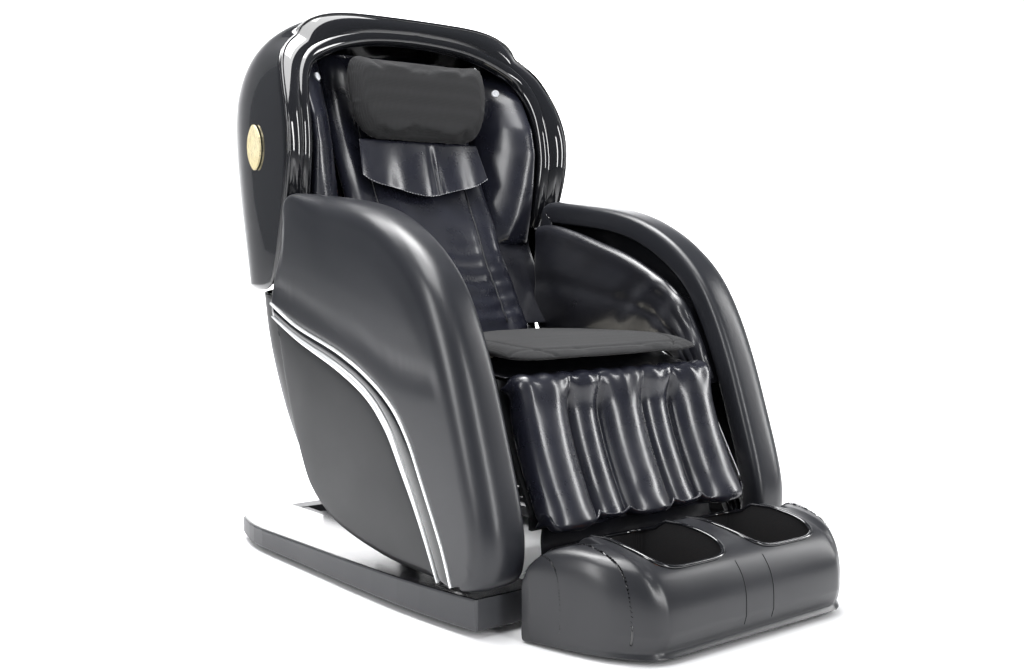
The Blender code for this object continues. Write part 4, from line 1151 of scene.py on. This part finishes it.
def calf_cover():
    path = resampled(smooth_line(CALF_PATH, 8), CALF_ROWS)
    rear = resampled(smooth_line(CALF_REAR, 8), CALF_ROWS)
    into = lefts(path)
    half = CALF_HALF
    columns = 120
    rows = []
    for i, (at, back) in enumerate(zip(path, rear)):
        share = i / (CALF_ROWS - 1)
        window = ease((share - 0.10) / 0.26) * (1 - 0.75 * ease((share - 0.84) / 0.16))
        at = Vector(at)
        ring = []
        for j in range(columns + 1):
            x = half * (2 * j / columns - 1)
            edge = max(0.0, (abs(x) - 0.228) / (half - 0.228))
            depth = calf_depth(x) * window + 0.026 * (1 - math.sqrt(max(0.0, 1 - edge * edge)))
            depth += 0.0018 * (1 - window) * math.sin(abs(x) * 130.0)
            spot = at + into[i] * depth
            limit = Vector(back)
            if (spot - at).length > 0.85 * (limit - at).length:
                spot = at.lerp(limit, 0.85)
            ring.append((x, spot.x, spot.y))
        for j in range(7):
            x = half * (1 - 2 * j / 6) * 0.985
            ring.append((x, back[0], back[1]))
        rows.append(ring)
    made = closed_piece(rows, "calf_cover", "navy_leather", "leg_rest")
    refined(made, 1)

    def creases(spot, normal):
        if normal.y > -0.1 and normal.z < 0.3:
            return 0.0
        return 0.0004 * math.sin(spot.z * 90.0 + 2.0 * math.sin(spot.x * 24.0)) * ease((0.30 - spot.z) / 0.1)

    pressed(made, creases)
    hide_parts("calf_pad_left", "calf_pad_right", "calf_pad_centre", "calf_pad_floor")
    for side, sign in (("left", -1), ("right", 1)):
        for mark, x in (("outer", 0.1535), ("inner", 0.0445)):
            line = []
            for i in range(22, 56):
                depth = calf_depth(x) * ease((i / (CALF_ROWS - 1) - 0.10) / 0.26)
                spot = Vector(path[i]) + into[i] * (depth - 0.0002)
                line.append((sign * x, spot.x, spot.y))
            stitches(f"calf_stitch_{mark}_{side}", line, "liner_fabric", "leg_rest", 0.006, 0.004, 0.0005)


KNEE_LINE = [(-0.188, 0.4560), (-0.200, 0.4520), (-0.222, 0.4440), (-0.250, 0.4380), (-0.275, 0.4350),
             (-0.296, 0.4340)]
FOOT_LINE = [(-0.3765, 0.1760), (-0.3745, 0.1640), (-0.3725, 0.1520), (-0.3720, 0.1400), (-0.3735, 0.1280),
             (-0.3745, 0.1120)]


def bridges():
    """Soft leather that closes the gaps at the knee and above the foot unit."""
    sheets = [("knee_gusset", "chassis", "leg_rest", "seat_pad", KNEE_LINE, 0.246, (0.492, 0.112)),
              ("foot_curtain", "leg_rest", "foot_unit", "foot_cover", FOOT_LINE, 0.222, (0.444, 0.066))]
    for name, first, second, rest, line, half, flat in sheets:
        rows = []
        for y, z in smooth_line(line, 5):
            row = []
            for k in range(61):
                x = half * (2 * k / 60 - 1)
                wave = 0.0008 * math.sin(x * 95.0)
                row.append((x, y + wave * 0.4, z - abs(wave)))
            rows.append(row)
        made = as_piece(grid_mesh(rows), name, "black_leather", None)
        outward(made, (0.0, -1.0, 0.4))
        thickened(made, 0.0012)
        made_real(made)
        smoothed(made.data)
        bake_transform(made)


# ---- foot unit ----------------------------------------------------------------------------------
FOOT_ENDS = [(0.0, -0.694), (0.110, -0.6938), (0.200, -0.693), (0.224, -0.688), (0.248, -0.671),
             (0.270, -0.644), (0.290, -0.610), (0.306, -0.565), (0.320, -0.515), (0.329, -0.470)]


FOOT_FRONT = -0.694
FOOT_LENGTH = 0.320
FOOT_CORNER_X = 0.262
FOOT_END_X = 0.329
WELL_X = (0.030, 0.205)
WELL_Y = (-0.655, -0.420)
WELL_FLOOR = 0.055


def foot_section(x, y_front, outline):
    """The foot unit's outline across X at one place, shortened and lowered towards its end."""
    edge = max(0.0, (x - FOOT_CORNER_X) / (FOOT_END_X - FOOT_CORNER_X))
    drop = 1 - math.sqrt(max(0.0, 1 - min(edge, 1.0) ** 2.6))
    y_back = -0.374 if x < 0.222 else -0.374 - 0.078 * ease((x - 0.222) / 0.012)
    ring = []
    for y, z in outline:
        share = (y - FOOT_FRONT) / FOOT_LENGTH
        lower = max(0.0, z - 0.090) * 0.75 * drop
        lower += 0.003 * math.exp(-((x - 0.232) / 0.004) ** 2) * ease((z - 0.02) / 0.02)
        ring.append((x, y_front + (y_back - y_front) * share, z - lower))
    return ring


def foot_cover():
    outline = smooth_line(FOOT_SIDE + FOOT_SIDE[:1], 5)[:-1]
    plan = smooth_line(FOOT_ENDS, 5)
    rows = [foot_section(x, y_front, outline) for x, y_front in plan]
    whole = [[(-x, y, z) for x, y, z in ring] for ring in reversed(rows[1:])] + rows
    made = closed_piece(whole, "foot_cover", "foot_satin", "foot_unit")
    made.data.materials.append(LOOKS["liner_fabric"])
    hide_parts("foot_shell")
    plain = surface_of(made)
    cutters = []
    for sign in (-1, 1):
        low, high = sorted((sign * WELL_X[0], sign * WELL_X[1]))
        hole = [(low, WELL_Y[0]), (high, WELL_Y[0]), (high, WELL_Y[1]), (low, WELL_Y[1])]
        cutter = bpy.data.objects.new("well_tool", slab_mesh(hole, WELL_FLOOR, 0.300, "Z"))
        bpy.context.scene.collection.objects.link(cutter)
        bevelled(cutter, 0.026, 6, 60)
        made_real(cutter)
        cut = made.modifiers.new("Well", "BOOLEAN")
        cut.operation = "DIFFERENCE"
        cut.solver = "EXACT"
        cut.object = cutter
        cutters.append(cutter)
    made_real(made)
    for cutter in cutters:
        bpy.data.objects.remove(cutter, do_unlink=True)
    for face in made.data.polygons:
        spot = face.center
        inside = WELL_X[0] - 0.002 < abs(spot.x) < WELL_X[1] + 0.002
        inside = inside and WELL_Y[0] - 0.002 < spot.y < WELL_Y[1] + 0.002 and spot.z > WELL_FLOOR - 0.001
        if inside and (spot.z < 0.100 or abs(face.normal.z) < 0.55):
            face.material_index = 1
        face.use_smooth = True
    bevelled(made, 0.0016, 2, 42)
    weighted = made.modifiers.new("Normals", "WEIGHTED_NORMAL")
    weighted.keep_sharp = True
    for side, sign in (("left", -1), ("right", 1)):
        ring = []
        for k in range(72):
            turn = 2 * math.pi * k / 72
            c = math.cos(turn)
            s = math.sin(turn)
            x = sign * (0.1175 + math.copysign(abs(c) ** 0.42, c) * 0.0905)
            y = -0.5375 + math.copysign(abs(s) ** 0.42, s) * 0.1205
            hit = plain.ray_cast(Vector((x, y, 0.4)), Vector((0, 0, -1)))[0]
            ring.append((x, y, hit.z + 0.0008))
        as_piece(tube_loop(ring, 0.0042, 10), "well_lip_" + side, "gloss_black", "foot_unit")
    for name, x, radius, look in (("front_seam", 0.035, 0.0008, "liner_fabric"),
                                  ("corner_bead", FOOT_CORNER_X, 0.0026, "gloss_black"),
                                  ("end_seam", 0.314, 0.0012, "gloss_black")):
        for side, sign in (("left", -1), ("right", 1)):
            reach = -0.430 if x > 0.3 else -0.505 if x > 0.1 else -0.662
            ring = foot_section(x, interp(FOOT_ENDS, x), outline)
            line = [(sign * a, y, z) for a, y, z in ring if z > 0.030 and y < reach]
            line.sort(key=lambda point: point[1] * 0.6 - point[2])
            tube(f"{name}_{side}", line, radius, look, "foot_unit", 8)


def tube_loop(line, radius, sides):
    """A closed tube along a ring of points that lies about level."""
    rows = []
    count = len(line)
    for i in range(count):
        ahead = (Vector(line[(i + 1) % count]) - Vector(line[i - 1])).normalized()
        side = Vector((0, 0, 1)).cross(ahead).normalized()
        up = ahead.cross(side)
        rows.append([Vector(line[i]) + side * (radius * math.cos(2 * math.pi * k / sides))
                     + up * (radius * 0.8 * math.sin(2 * math.pi * k / sides)) for k in range(sides)])
    return grid_mesh(rows, wrap_rows=True, wrap_columns=True)


# ---- camera, light and floor --------------------------------------------------------------------
# name, place, target, size, watts
LIGHTS = [
    ("top_box", (-0.3, -0.2, 3.2), (0.0, 0.1, 0.5), (1.6, 2.6), 110),
    ("left_strip", (-3.0, -0.6, 1.7), (0.0, 0.0, 0.7), (0.7, 2.4), 60),
    ("front_strip", (-0.2, -3.4, 1.5), (0.0, 0.0, 0.6), (0.5, 2.2), 60),
    ("right_strip", (2.6, -1.6, 1.6), (0.0, 0.0, 0.7), (0.5, 2.2), 50),
    ("back_wash", (1.6, 3.0, 3.2), (2.6, 4.4, 0.8), (3.0, 1.0), 420),
    ("floor_wash", (-0.6, 1.2, 3.6), (1.2, 3.0, 0.0), (3.0, 1.5), 220),
]
VIEW_AZIMUTH = math.radians(-37.7154)
VIEW_PITCH = math.radians(4.2242)
VIEW_PLACE = (-1.5517, -2.0064, 0.6716)


def area_light(name, where, target, size, power):
    data = bpy.data.lights.new(name, "AREA")
    data.shape = "RECTANGLE"
    data.size, data.size_y = size
    data.energy = power
    made = bpy.data.objects.new(name, data)
    bpy.context.scene.collection.objects.link(made)
    made.location = where
    made.rotation_euler = (Vector(target) - Vector(where)).to_track_quat("-Z", "Y").to_euler()


def studio():
    world = bpy.data.worlds.new("studio")
    bpy.context.scene.world = world
    world.use_nodes = True
    nodes = world.node_tree.nodes
    links = world.node_tree.links
    lighting = nodes["Background"]
    lighting.inputs["Color"].default_value = (0.9, 0.94, 1.0, 1.0)
    lighting.inputs["Strength"].default_value = 0.22
    seen = nodes.new("ShaderNodeBackground")
    seen.inputs["Color"].default_value = (1.0, 1.0, 1.0, 1.0)
    seen.inputs["Strength"].default_value = 1.0
    either = nodes.new("ShaderNodeMixShader")
    links.new(nodes.new("ShaderNodeLightPath").outputs["Is Camera Ray"], either.inputs[0])
    links.new(lighting.outputs[0], either.inputs[1])
    links.new(seen.outputs[0], either.inputs[2])
    links.new(either.outputs[0], nodes["World Output"].inputs["Surface"])
    rows = []
    for y, z in ((-8.0, 0.0), (3.0, 0.0), (4.4, 0.0), (5.0, 0.15), (5.5, 0.7), (5.7, 1.6), (5.7, 7.0)):
        rows.append([(x, y, z) for x in (-9.0, -4.0, 0.0, 4.0, 9.0)])
    mesh = grid_mesh(rows)
    mesh.transform(Matrix.Rotation(-math.radians(37.7), 4, "Z"))
    floor = Look("floor", (0.86, 0.86, 0.87), 0.55)
    floor.tint(floor.noise(3.0, 4.0), (0.85, 0.85, 0.86), (0.88, 0.88, 0.885))
    LOOKS["floor"] = floor.made
    made = as_piece(mesh, "studio_floor", "floor", None)
    made.location.z = -0.0005
    outward(made, (0.0, 0.0, 1.0))
    for light in LIGHTS:
        area_light(*light)


def colours():
    bpy.context.scene.view_settings.view_transform = "Standard"


def camera():
    data = bpy.data.cameras.new("camera")
    data.lens = 41.70
    data.sensor_width = 36.0
    made = bpy.data.objects.new("camera", data)
    bpy.context.scene.collection.objects.link(made)
    made.location = VIEW_PLACE
    level = math.cos(VIEW_PITCH)
    aim = Vector((-math.sin(VIEW_AZIMUTH) * level, math.cos(VIEW_AZIMUTH) * level, -math.sin(VIEW_PITCH)))
    made.rotation_euler = aim.to_track_quat("-Z", "Y").to_euler()
    bpy.context.scene.camera = made


# ---- CAD pieces that stay -----------------------------------------------------------------------
KEPT = {
    "base_frame": "painted_steel", "control_box": "grey_plastic", "power_rocker": "gloss_black",
    "rubber_foot_": "rubber", "base_runner_": "runner_finish", "seat_frame": "painted_steel",
    "seat_pan": "painted_steel", "air_pump": "dark_plastic", "back_frame": "painted_steel",
    "lift_motor": "motor_alloy", "lift_screw": "steel", "carriage": "dark_plastic", "knead_shaft": "steel",
    "roller_arm_": "dark_plastic", "roller_upper_": "roller_plastic", "roller_lower_": "roller_plastic",
    "sole_roller_": "roller_plastic", "side_badge_": "gold_badge", "calf_tray": "dark_plastic",
    "tilt_drive": "motor_alloy", "recline_drive": "motor_alloy", "lift_drive": "motor_alloy",
    "tilt_rod": "steel", "recline_rod": "steel", "lift_rod": "steel",
}


def dress_kept():
    for name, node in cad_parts.items():
        for start, look in KEPT.items():
            if name == start or start.endswith("_") and name.startswith(start):
                node.data.materials.clear()
                node.data.materials.append(LOOKS[look])


make_looks()
runner_look()
colours()
camera()
dress_kept()
for build in (arm_shell, side_trims, lower_panel, arm_pad):
    both_sides(build)
seat()
flap()
back_shells()
rim()
back_cushion()
wings()
liner()
head_cushion()
skirt()
calf_cover()
foot_cover()
bridges()
studio()
